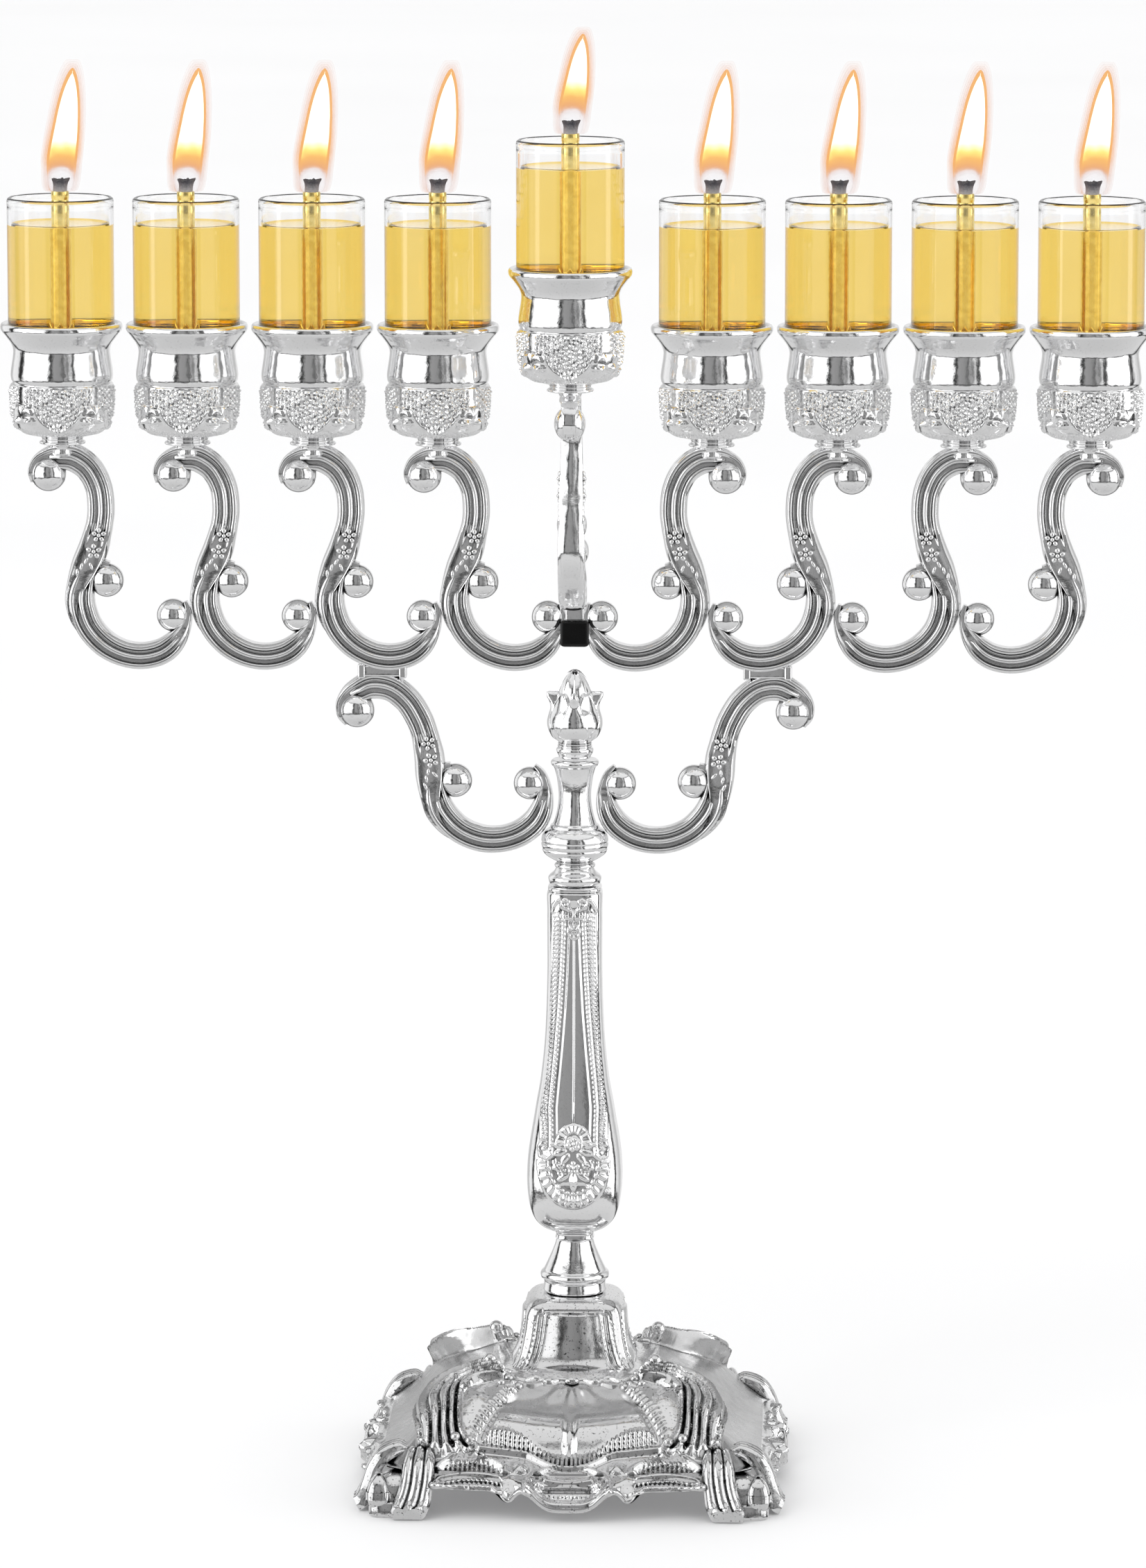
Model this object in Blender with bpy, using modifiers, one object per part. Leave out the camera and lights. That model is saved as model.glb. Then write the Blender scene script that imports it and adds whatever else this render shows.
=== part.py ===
"""Cast menorah with nine glass oil cups, built as an assembly of separate pieces.

Units are metres, +Z is up and the front faces -Y. The origin is on the ground under the column.
Each object is one physical piece, and neighbouring pieces keep a small assembly gap.
"""
import math

import bmesh
import bpy
from mathutils import Euler, Vector

MM = 0.001
GAP = 0.3 * MM

# Crown: four cups on each side, and the raised ninth cup (the shamash) in front of the middle.
CUPS_PER_SIDE = 4
FIRST_CUP_X = 28.4 * MM
CUP_PITCH = 26.1 * MM
CROWN_RIM_Z = 243.7 * MM
SHAMASH_RIM_Z = 258.0 * MM
SHAMASH_Y = -26.5 * MM

# Scroll arm, in its own frame: x runs inboard from the cup's axis, z is measured from the cup's rim.
ARM_SPINE = (
    (-3.0, -30.4, 2.0), (-1.4, -28.5, 2.3), (1.8, -27.9, 2.5), (5.4, -30.1, 2.5), (7.4, -34.0, 2.5),
    (7.9, -38.6, 2.5), (7.2, -43.4, 2.7), (5.5, -48.4, 3.0), (4.0, -53.5, 3.1), (3.6, -58.5, 3.1),
    (5.1, -63.5, 2.9), (8.8, -67.5, 2.6), (14.2, -69.3, 2.5), (19.2, -68.6, 2.5), (22.7, -65.9, 2.3),
    (23.2, -62.5, 1.9))
ARM_BALLS = ((-3.0, -31.3, 3.6), (9.0, -53.6, 3.5), (22.8, -60.9, 3.4))
ARM_MID_BALL = Vector((9.0, 0, -53.6)) * MM

# The lower pair is the same casting, turned in its own plane and held by the column.
LOWER_TILT = math.radians(26)
LOWER_MID_BALL = Vector((-25.0, 0, 148.2)) * MM
BRACKET_ARM = 3
BRACKET_SIZE = Vector((9.4, 4.4, 2.6)) * MM
BRACKET_CENTRE = Vector((-40.2, 0, 171.4)) * MM

SOCKET_SIZE = Vector((6.0, 6.6, 8.2)) * MM
SOCKET_TOP_Z = 185.0 * MM
SOCKET_FLOOR = 1.5 * MM
TONGUE_SIZE = Vector((3.8, 2.9)) * MM
TONGUE_TOP_Z = 198.2 * MM

ROD_RADIUS = 2.0 * MM
ROD_BORE = 2.4 * MM
ROD_BOTTOM_Z = 28.5 * MM
ROD_TOP_Z = 141.2 * MM

BASE_WALL_TOP_Z = 35.6 * MM
FOOT_RADIUS = 6.0 * MM
FOOT_HEIGHT = 9.0 * MM
FOOT_OFFSET = 34.4 * MM

# Glass cup, in the frame of its holder's rim.
GLASS_RADIUS = 11.05
GLASS_WALL = 1.35
GLASS_BOTTOM = -1.5
GLASS_FLOOR = 2.2
GLASS_TOP = 26.9
GLASS_CORNER = 2.7

TUBE_RADIUS = 1.75
TUBE_BORE = 1.4
TUBE_TOP = 28.7
WICK_TOP = 31.5

CUP_SIDES = 16
STEM_SIDES = 16
BASE_SIDES = 32


def clear_scene():
    for obj in list(bpy.data.objects):
        bpy.data.objects.remove(obj, do_unlink=True)


def new_collection(name):
    collection = bpy.data.collections.new(name)
    bpy.context.scene.collection.children.link(collection)
    return collection


def material(name, colour, roughness, metallic=0.0, transmission=0.0):
    mat = bpy.data.materials.new(name)
    mat.use_nodes = True
    shader = mat.node_tree.nodes["Principled BSDF"]
    shader.inputs["Base Color"].default_value = (*colour, 1.0)
    shader.inputs["Roughness"].default_value = roughness
    shader.inputs["Metallic"].default_value = metallic
    shader.inputs["Transmission Weight"].default_value = transmission
    mat.diffuse_color = (*colour, 1.0)
    return mat


def add_piece(name, mesh, mat, location=(0, 0, 0), rotation=(0, 0, 0)):
    """Place a mesh as one named piece. Shared meshes take their material from the mesh."""
    obj = bpy.data.objects.new(name, mesh)
    PARTS.objects.link(obj)
    if not mesh.materials:
        mesh.materials.append(mat)
    obj.location = location
    obj.rotation_euler = rotation
    return obj


def add_cutter(name, mesh, location=(0, 0, 0), rotation=(0, 0, 0)):
    obj = bpy.data.objects.new(name, mesh)
    CUTTERS.objects.link(obj)
    obj.location = location
    obj.rotation_euler = rotation
    obj.hide_render = True
    obj.display_type = "WIRE"
    return obj


def combine(obj, other, operation):
    boolean = obj.modifiers.new(f"{operation.lower()}_{other.name}", "BOOLEAN")
    boolean.operation = operation
    boolean.solver = "EXACT"
    boolean.object = other


def bake(obj, name):
    """Return the object's evaluated mesh as new mesh data."""
    bpy.context.view_layer.update()
    evaluated = obj.evaluated_get(bpy.context.evaluated_depsgraph_get())
    mesh = bpy.data.meshes.new_from_object(evaluated)
    mesh.name = name
    return mesh


def smooth(mesh, angle=40):
    mesh.shade_smooth()
    mesh.set_sharp_from_angle(angle=math.radians(angle))
    return mesh


def turned_mesh(name, profile, sides):
    """Turn a profile of (radius, height) points in millimetres about Z.

    The profile starts at the axis, runs up any upper hole, down the outer side and back to the axis,
    or closes on itself around a through hole.
    """
    mesh = bpy.data.meshes.new(name)
    closed = profile[0] == profile[-1]
    points = profile[:-1] if closed else profile
    edges = [(i, i + 1) for i in range(len(points) - 1)]
    if closed:
        edges.append((len(points) - 1, 0))
    mesh.from_pydata([(r * MM, 0, z * MM) for r, z in points], edges, [])
    obj = bpy.data.objects.new(name, mesh)
    bpy.context.scene.collection.objects.link(obj)
    screw = obj.modifiers.new("turn", "SCREW")
    screw.steps = sides
    screw.render_steps = sides
    screw.use_merge_vertices = True
    screw.merge_threshold = 0.01 * MM
    baked = bake(obj, name)
    bpy.data.objects.remove(obj)
    return smooth(baked)


def cylinder_mesh(name, radius, bottom, top, sides):
    bm = bmesh.new()
    bmesh.ops.create_cone(bm, cap_ends=True, segments=sides, radius1=radius, radius2=radius,
                          depth=top - bottom)
    bmesh.ops.translate(bm, vec=(0, 0, (top + bottom) / 2), verts=bm.verts)
    mesh = bpy.data.meshes.new(name)
    bm.to_mesh(mesh)
    bm.free()
    return smooth(mesh)


def box_mesh(name, size, centre):
    bm = bmesh.new()
    bmesh.ops.create_cube(bm, size=1)
    bmesh.ops.scale(bm, vec=size, verts=bm.verts)
    bmesh.ops.translate(bm, vec=centre, verts=bm.verts)
    mesh = bpy.data.meshes.new(name)
    bm.to_mesh(mesh)
    bm.free()
    return mesh


def squircle_ring(side, corner, side_z, corner_z, sides, wave=0.0):
    """Points of a rounded-square ring, in millimetres.

    side is the half-width on the faces and corner the radius on the diagonals. The height runs from
    side_z on the faces to corner_z on the diagonals. wave lifts the edge between its lobes.
    """
    exponent = 1 / math.log2(side * math.sqrt(2) / corner)
    points = []
    for index in range(sides):
        angle = 2 * math.pi * index / sides
        reach = (abs(math.cos(angle)) ** exponent + abs(math.sin(angle)) ** exponent) ** (-1 / exponent)
        diagonal = math.sin(2 * angle) ** 2
        height = side_z + (corner_z - side_z) * diagonal + wave * math.sin(4 * angle) ** 2
        radius = side * reach
        points.append((radius * math.cos(angle), radius * math.sin(angle), height))
    return points


def ring_loft_mesh(name, rings):
    """Skin a loop of rings. The rings run down the outside and back up around the bore."""
    bm = bmesh.new()
    loops = [[bm.verts.new(Vector(point) * MM) for point in ring] for ring in rings]
    for upper, lower in zip(loops, loops[1:] + loops[:1]):
        for index, vertex in enumerate(upper):
            after = (index + 1) % len(upper)
            bm.faces.new((vertex, lower[index], lower[after], upper[after]))
    mesh = bpy.data.meshes.new(name)
    bm.to_mesh(mesh)
    bm.free()
    return smooth(mesh)


def arm_mesh(name, growth=0.0):
    """The S-scroll casting: one bent bar with a ball at each scroll end."""
    curve = bpy.data.curves.new(name, "CURVE")
    curve.dimensions = "3D"
    curve.bevel_depth = MM
    curve.bevel_resolution = 1
    curve.resolution_u = 1
    curve.use_fill_caps = True
    spline = curve.splines.new("BEZIER")
    spline.bezier_points.add(len(ARM_SPINE) - 1)
    for point, (x, z, radius) in zip(spline.bezier_points, ARM_SPINE):
        point.co = (x * MM, 0, z * MM)
        point.radius = radius + growth
        point.handle_left_type = "AUTO"
        point.handle_right_type = "AUTO"
    bar_curve = bpy.data.objects.new(name, curve)
    bpy.context.scene.collection.objects.link(bar_curve)
    bar_mesh = bake(bar_curve, name)
    bpy.data.objects.remove(bar_curve)

    bm = bmesh.new()
    bm.from_mesh(bar_mesh)
    bmesh.ops.remove_doubles(bm, verts=bm.verts, dist=0.01 * MM)
    bm.to_mesh(bar_mesh)
    bm.free()

    bar = bpy.data.objects.new(name, bar_mesh)
    bpy.context.scene.collection.objects.link(bar)
    balls = []
    for x, z, radius in ARM_BALLS:
        bm = bmesh.new()
        bmesh.ops.create_uvsphere(bm, u_segments=8, v_segments=5, radius=(radius + growth) * MM)
        ball_mesh = bpy.data.meshes.new(f"{name}_ball")
        bm.to_mesh(ball_mesh)
        bm.free()
        ball = bpy.data.objects.new(f"{name}_ball", ball_mesh)
        bpy.context.scene.collection.objects.link(ball)
        ball.location = (x * MM, 0, z * MM)
        combine(bar, ball, "UNION")
        balls.append(ball)
    mesh = bake(bar, name)
    for obj in (bar, *balls):
        bpy.data.objects.remove(obj)
    return smooth(mesh)


def holder_profile():
    """Cast cup: flared mouth, waist, full lower half and a short neck, with a candle well inside."""
    return ((0, -19), (8.1, -19), (8.1, -4.0), (11.2, 0), (12.5, 0), (11.5, -2.6), (10.2, -5.6),
            (10.6, -9.4), (10.6, -15.5), (9.9, -19.6), (8.1, -22.6), (4.7, -23.1), (4.7, -24.9),
            (0, -24.9))


def glass_profile():
    """Straight glass cup with a rounded lower corner and a thick floor."""
    floor = GLASS_BOTTOM + GLASS_FLOOR
    inner = GLASS_RADIUS - GLASS_WALL
    corner = [(GLASS_RADIUS - GLASS_CORNER * (1 - math.cos(angle)),
               GLASS_BOTTOM + GLASS_CORNER * (1 - math.sin(angle)))
              for angle in (0, math.pi / 4, math.pi / 2)]
    return ((0, floor), (inner - 1, floor), (inner, floor + 1), (inner, GLASS_TOP),
            (GLASS_RADIUS, GLASS_TOP), *corner, (0, GLASS_BOTTOM))


def wick_holder_profile():
    """Brass tube on a flat foot, open at both ends."""
    bottom = GLASS_BOTTOM + GLASS_FLOOR + 0.3
    return ((TUBE_BORE, TUBE_TOP), (TUBE_RADIUS, TUBE_TOP), (TUBE_RADIUS, bottom + 0.6),
            (3.0, bottom + 0.6), (3.0, bottom), (TUBE_BORE, bottom), (TUBE_BORE, TUBE_TOP))


def wick_profile():
    """Wick: a thin stretch inside the tube and a wider head above it."""
    return ((0, WICK_TOP), (1.1, WICK_TOP), (1.5, WICK_TOP - 1), (1.5, TUBE_TOP + 0.3),
            (1.0, TUBE_TOP + 0.3), (1.0, 2.2), (0, 2.2))


def column_profile():
    """Vase-shaped column with a blind bore at each end: the finial's above, the rod's below."""
    return ((0, 145.9), (1.85, 145.9), (1.85, 152.8), (4.9, 152.8), (5.0, 152.0), (4.2, 150.2),
            (3.5, 147.0), (3.4, 144.8), (4.3, 141.5), (6.2, 138.1), (7.05, 136.0), (6.9, 134.2),
            (5.2, 132.2), (4.0, 130.6), (4.2, 128.8), (5.5, 127.6), (5.4, 126.5), (2.4, 126.5),
            (2.4, 141.5), (0, 141.5))


def build_base(silver):
    bore = ROD_BORE / MM
    wall_top = BASE_WALL_TOP_Z / MM
    n = BASE_SIDES
    outer = [
        squircle_ring(bore, bore, 38.0, 38.0, n),
        squircle_ring(9.6, 12.4, 38.0, 38.0, n),
        squircle_ring(11.7, 15.2, 36.6, 36.6, n),
        squircle_ring(12.5, 16.4, 31.0, 31.0, n),
        squircle_ring(13.0, 17.2, 24.6, 24.6, n),
        squircle_ring(17.5, 24.0, 22.8, 24.2, n),
        squircle_ring(23.5, 32.5, 18.8, 22.2, n),
        squircle_ring(30.0, 41.0, 14.3, 17.8, n),
        squircle_ring(37.0, 47.5, 10.4, 12.6, n),
        squircle_ring(42.0, 51.0, 8.6, 8.6, n),
        squircle_ring(44.4, 52.6, 5.5, 5.2, n, wave=1.6),
        squircle_ring(45.4, 52.8, 2.7, 2.7, n, wave=3.4),
    ]
    inner = [
        squircle_ring(43.4, 50.4, 2.7, 2.7, n, wave=3.4),
        squircle_ring(40.2, 48.6, 6.2, 6.4, n, wave=0.6),
        squircle_ring(35.6, 45.6, 8.2, 10.2, n),
        squircle_ring(28.8, 39.4, 12.0, 15.4, n),
        squircle_ring(22.4, 31.0, 16.4, 19.6, n),
        squircle_ring(15.4, 21.4, 20.8, 21.6, n),
        squircle_ring(11.0, 14.6, 24.6, 24.6, n),
        squircle_ring(10.5, 14.0, 31.0, 31.0, n),
        squircle_ring(9.8, 12.8, wall_top, wall_top, n),
        squircle_ring(bore, bore, wall_top, wall_top, n),
    ]
    base = add_piece("base", ring_loft_mesh("base", outer + inner), silver)
    foot_mesh = cylinder_mesh("foot", FOOT_RADIUS, 0, FOOT_HEIGHT, 16)
    for number, (sx, sy) in enumerate(((-1, -1), (1, -1), (1, 1), (-1, 1)), 1):
        foot = add_cutter(f"foot_{number}", foot_mesh, (sx * FOOT_OFFSET, sy * FOOT_OFFSET, 0))
        combine(base, foot, "UNION")


def build_stem(silver, steel):
    cone = ((2.4, 50.6), (3.9, 50.6), (4.6, 47.6), (6.1, 44.4), (7.1, 42.8), (6.9, 41.6), (6.6, 40.6),
            (6.7, 38.3), (2.4, 38.3), (2.4, 50.6))
    add_piece("stem_cone", turned_mesh("stem_cone", cone, STEM_SIDES), silver)

    n = STEM_SIDES
    bore = ROD_BORE / MM
    outline = ((5.5, 126.2), (5.7, 124.5), (5.75, 108.3), (6.3, 93.3), (7.3, 84.2), (8.7, 76.0),
               (9.7, 70.0), (10.0, 64.6), (9.5, 58.6), (8.3, 55.4), (5.4, 52.9), (4.1, 50.9))
    rings = [squircle_ring(bore, bore, 126.2, 126.2, n)]
    rings += [squircle_ring(half, half * 1.06, z, z, n) for half, z in outline]
    rings.append(squircle_ring(bore, bore, 50.9, 50.9, n))
    add_piece("baluster_stem", ring_loft_mesh("baluster_stem", rings), silver)

    add_piece("branch_column", turned_mesh("branch_column", column_profile(), STEM_SIDES), silver)

    finial = ((0, 171.5), (1.5, 170.2), (2.7, 168.2), (4.0, 165.6), (5.3, 162.4), (5.3, 160.2),
              (4.5, 158.2), (3.2, 156.4), (3.8, 154.8), (3.6, 153.1), (1.5, 153.1), (1.5, 146.3),
              (0, 146.3))
    add_piece("finial", turned_mesh("finial", finial, STEM_SIDES), silver)

    rod = cylinder_mesh("tie_rod", ROD_RADIUS, ROD_BOTTOM_Z, ROD_TOP_Z, 12)
    add_piece("tie_rod", rod, steel)
    washer = ((2.35, 35.3), (5.5, 35.3), (5.5, 34.2), (2.35, 34.2), (2.35, 35.3))
    add_piece("washer", turned_mesh("washer", washer, 16), steel)
    nut = ((2.35, 33.9), (4.05, 33.9), (4.05, 30.4), (2.35, 30.4), (2.35, 33.9))
    nut_mesh = turned_mesh("nut", nut, 6)
    add_piece("nut", nut_mesh, steel)


def build_lower_arms(mesh, clearance, silver):
    """Two tilted arms against the column, and the saddles that join them to the crown."""
    column_cut = add_cutter("column_clearance", turned_mesh(
        "column_clearance", [(0, 154), *[(r + 0.35, z) for r, z in column_profile()[3:17]], (0, 126)],
        STEM_SIDES))
    tilt = Euler((0, -LOWER_TILT, 0)).to_matrix()
    foot_point = LOWER_MID_BALL - tilt @ ARM_MID_BALL
    crown_x = -(FIRST_CUP_X + (CUPS_PER_SIDE - BRACKET_ARM) * CUP_PITCH)
    for side, turn, sign in (("left", 0.0, 1), ("right", math.pi, -1)):
        place = Vector((sign * foot_point.x, 0, foot_point.z))
        arm = add_piece(f"lower_arm_{side}", mesh.copy(), silver, place, (0, -LOWER_TILT, turn))
        combine(arm, column_cut, "DIFFERENCE")

        centre = Vector((sign * BRACKET_CENTRE.x, 0, BRACKET_CENTRE.z))
        bracket = add_piece(f"crown_bracket_{side}",
                            box_mesh(f"crown_bracket_{side}", BRACKET_SIZE, (0, 0, 0)), silver, centre)
        under = add_cutter(f"lower_clearance_{side}", clearance, place, (0, -LOWER_TILT, turn))
        over = add_cutter(f"crown_clearance_{side}", clearance, (sign * crown_x, 0, CROWN_RIM_Z),
                          (0, 0, turn))
        combine(bracket, under, "DIFFERENCE")
        combine(bracket, over, "DIFFERENCE")


def build_crown(mesh, silver):
    """Eight arms in a row, each touching the next, with the square socket in the middle."""
    centre = (0, 0, SOCKET_TOP_Z - SOCKET_SIZE.z / 2)
    socket_cut = add_cutter("socket_clearance", box_mesh(
        "socket_clearance", SOCKET_SIZE + Vector((2 * GAP, 2 * GAP, 20 * MM)), centre))
    for index in range(2 * CUPS_PER_SIDE):
        left = index < CUPS_PER_SIDE
        step = CUPS_PER_SIDE - 1 - index if left else index - CUPS_PER_SIDE
        x = (FIRST_CUP_X + step * CUP_PITCH) * (-1 if left else 1)
        inner = step == 0
        arm = add_piece(f"branch_arm_{index + 1}", mesh.copy() if inner else mesh, silver,
                        (x, 0, CROWN_RIM_Z), (0, 0, 0 if left else math.pi))
        if inner:
            combine(arm, socket_cut, "DIFFERENCE")

    socket = add_piece("shamash_socket", box_mesh("shamash_socket", SOCKET_SIZE, centre), silver)
    hole_size = Vector((TONGUE_SIZE.x + 2 * GAP, TONGUE_SIZE.y + 2 * GAP, SOCKET_SIZE.z))
    hole = add_cutter("socket_hole", box_mesh("socket_hole", hole_size,
                                              (0, 0, SOCKET_TOP_Z - SOCKET_SIZE.z / 2 + SOCKET_FLOOR)))
    combine(socket, hole, "DIFFERENCE")


def build_shamash_arm(mesh, silver):
    """The same scroll, edge on to the front, on a square tongue that stands in the socket."""
    arm = add_piece("shamash_arm", mesh.copy(), silver, (0, SHAMASH_Y, SHAMASH_RIM_Z),
                    (0, 0, math.pi / 2))
    bottom = SOCKET_TOP_Z - SOCKET_SIZE.z + SOCKET_FLOOR + GAP
    size = (TONGUE_SIZE.x, TONGUE_SIZE.y, TONGUE_TOP_Z - bottom)
    tongue = add_cutter("tongue", box_mesh("tongue", size, (0, 0, (TONGUE_TOP_Z + bottom) / 2)))
    combine(arm, tongue, "UNION")


def cup_places():
    """Rim centre of each cup, left to right, with the shamash last."""
    places = []
    for side in (-1, 1):
        steps = range(CUPS_PER_SIDE)
        for step in (reversed(steps) if side < 0 else steps):
            places.append((side * (FIRST_CUP_X + step * CUP_PITCH), 0, CROWN_RIM_Z))
    places.append((0, SHAMASH_Y, SHAMASH_RIM_Z))
    return places


def build_cups(silver, glass, brass, cotton):
    kinds = (("holder_cup", holder_profile(), CUP_SIDES, silver),
             ("glass_cup", glass_profile(), CUP_SIDES, glass),
             ("wick_holder", wick_holder_profile(), 8, brass),
             ("wick", wick_profile(), 8, cotton))
    for kind, profile, sides, mat in kinds:
        mesh = turned_mesh(kind, profile, sides)
        for number, place in enumerate(cup_places(), 1):
            add_piece(f"{kind}_{number}", mesh, mat, place)


clear_scene()
PARTS = new_collection("menorah")
CUTTERS = new_collection("cutters")

silver_plate = material("silver_plate", (0.92, 0.92, 0.93), 0.12, metallic=1.0)
zinc_steel = material("zinc_steel", (0.60, 0.61, 0.63), 0.35, metallic=1.0)
clear_glass = material("clear_glass", (0.95, 0.97, 0.97), 0.03, transmission=1.0)
brass_tube = material("brass_tube", (0.80, 0.58, 0.20), 0.22, metallic=1.0)
cotton_wick = material("cotton_wick", (0.10, 0.10, 0.10), 0.95)

arm = arm_mesh("scroll_arm")
arm_clearance = arm_mesh("scroll_arm_clearance", growth=GAP / MM + 0.05)
build_base(silver_plate)
build_stem(silver_plate, zinc_steel)
build_lower_arms(arm, arm_clearance, silver_plate)
build_crown(arm, silver_plate)
build_shamash_arm(arm, silver_plate)
build_cups(silver_plate, clear_glass, brass_tube, cotton_wick)
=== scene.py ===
"""Looks of the silver oil menorah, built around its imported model. Shapes are worked out in millimetres."""
import math

import bpy
import numpy as np
from mathutils import Euler, Matrix, Vector


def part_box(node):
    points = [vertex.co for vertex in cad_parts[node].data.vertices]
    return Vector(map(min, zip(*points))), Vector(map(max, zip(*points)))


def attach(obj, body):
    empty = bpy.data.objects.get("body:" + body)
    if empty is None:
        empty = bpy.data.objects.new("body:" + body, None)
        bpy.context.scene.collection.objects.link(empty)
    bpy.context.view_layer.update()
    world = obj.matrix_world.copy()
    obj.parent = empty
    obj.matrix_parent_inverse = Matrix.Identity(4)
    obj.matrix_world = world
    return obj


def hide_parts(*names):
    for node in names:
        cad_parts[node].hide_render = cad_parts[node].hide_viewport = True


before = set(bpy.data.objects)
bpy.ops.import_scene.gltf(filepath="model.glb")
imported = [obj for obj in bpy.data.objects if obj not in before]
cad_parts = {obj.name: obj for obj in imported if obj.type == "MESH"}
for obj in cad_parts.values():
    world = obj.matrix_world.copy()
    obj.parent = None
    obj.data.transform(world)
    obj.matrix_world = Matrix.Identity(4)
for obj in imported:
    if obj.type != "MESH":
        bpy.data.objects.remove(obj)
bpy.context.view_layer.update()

MM = 0.001
TAU = 2 * math.pi

# Scroll casting, in its own frame: x runs inboard from the cup's axis, z is measured from the cup's rim.
# Each point is x, z, half width, half thickness, channel depth, rib height.
UPPER_STROKE = (
    (-6.3, -33.0, 0.35, 1.1, 0, 0), (-6.5, -30.9, 0.7, 1.4, 0, 0), (-5.2, -28.9, 1.3, 1.7, 0.4, 0),
    (-2.9, -27.9, 2.0, 1.9, 0.8, 0), (-0.6, -27.7, 2.4, 2.0, 0.9, 0.8), (2.2, -27.9, 2.6, 2.0, 0.9, 0.9),
    (5.4, -30.1, 2.55, 2.0, 0.9, 0.9), (7.4, -34.0, 2.5, 2.1, 0.9, 0.9), (7.9, -38.6, 2.5, 2.2, 0.9, 0.9),
    (7.6, -41.6, 2.5, 2.3, 0.9, 0.8), (7.1, -43.8, 2.6, 2.4, 0.5, 0), (6.2, -47.0, 2.8, 2.5, 0, 0),
    (4.6, -50.6, 2.7, 2.5, 0, 0), (3.0, -54.2, 2.1, 2.3, 0, 0), (1.8, -58.0, 1.4, 2.1, 0, 0),
    (2.4, -62.0, 0.9, 1.9, 0, 0), (4.6, -65.8, 0.5, 1.7, 0, 0))
LOWER_STROKE = (
    (9.6, -50.2, 0.5, 1.3, 0, 0), (7.4, -50.1, 0.9, 1.7, 0.3, 0), (5.4, -51.6, 1.6, 2.2, 0.8, 0),
    (4.2, -54.4, 2.1, 2.6, 1.0, 0), (3.7, -56.9, 2.4, 2.7, 1.0, 0.9), (3.9, -59.6, 2.5, 2.7, 1.0, 1.0),
    (5.3, -63.4, 2.5, 2.7, 1.0, 1.0), (8.4, -66.9, 2.5, 2.7, 1.0, 1.0), (12.2, -68.9, 2.45, 2.7, 1.0, 1.0),
    (16.2, -69.5, 2.45, 2.7, 1.0, 1.0), (20.0, -68.7, 2.4, 2.7, 1.0, 1.0), (22.3, -67.2, 2.2, 2.6, 1.0, 0.8),
    (24.2, -65.0, 1.7, 2.3, 0.8, 0), (25.6, -62.4, 1.0, 1.9, 0.2, 0), (26.0, -60.0, 0.6, 1.5, 0, 0),
    (25.4, -58.0, 0.35, 1.1, 0, 0))
SCROLL_HEADS = ((-3.0, -31.3), (9.0, -53.6), (22.8, -60.9))
FLOWERS = ((7.6, -43.9, 1.0), (6.5, -47.3, 1.05))
LEAVES = ((4.9, -49.3, 200), (3.9, -50.5, 215), (3.0, -51.8, 230), (5.9, -50.4, 250))

LOWER_TILT = math.radians(26)
LOWER_MID_BALL = Vector((-25.0, 0, 148.2))
ARM_MID_BALL = Vector((9.0, 0, -53.6))


# ---------------------------------------------------------------- shape helpers

def smooth_path(points, step):
    """Even samples of a smooth curve through the points. Only the first two columns set its length."""
    points = np.asarray(points, float)
    chord = np.sqrt(np.linalg.norm(np.diff(points[:, :2], axis=0), axis=1))
    knots = np.concatenate([[0], np.cumsum(chord)])
    slope = np.gradient(points, knots, axis=0)
    fine = np.linspace(0, knots[-1], 40 * len(points))
    i = np.clip(np.searchsorted(knots, fine, side="right") - 1, 0, len(knots) - 2)
    h = (knots[i + 1] - knots[i])[:, None]
    u = (fine - knots[i])[:, None] / h
    value = ((2 * u**3 - 3 * u**2 + 1) * points[i] + (u**3 - 2 * u**2 + u) * h * slope[i]
             + (3 * u**2 - 2 * u**3) * points[i + 1] + (u**3 - u**2) * h * slope[i + 1])
    length = np.concatenate([[0], np.cumsum(np.linalg.norm(np.diff(value[:, :2], axis=0), axis=1))])
    even = np.linspace(0, length[-1], max(2, round(length[-1] / step) + 1))
    return np.column_stack([np.interp(even, length, value[:, k]) for k in range(points.shape[1])])


def ramp(low, high, x):
    """Smooth step from 0 at low to 1 at high; low may be above high."""
    t = np.clip((x - low) / (high - low), 0, 1)
    return t * t * (3 - 2 * t)


def bump(distance, width):
    """Rounded hill: 1 at distance 0, down to 0 at the width."""
    t = np.clip(np.abs(distance) / width, 0, 1)
    return 0.5 + 0.5 * np.cos(math.pi * t)


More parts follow.
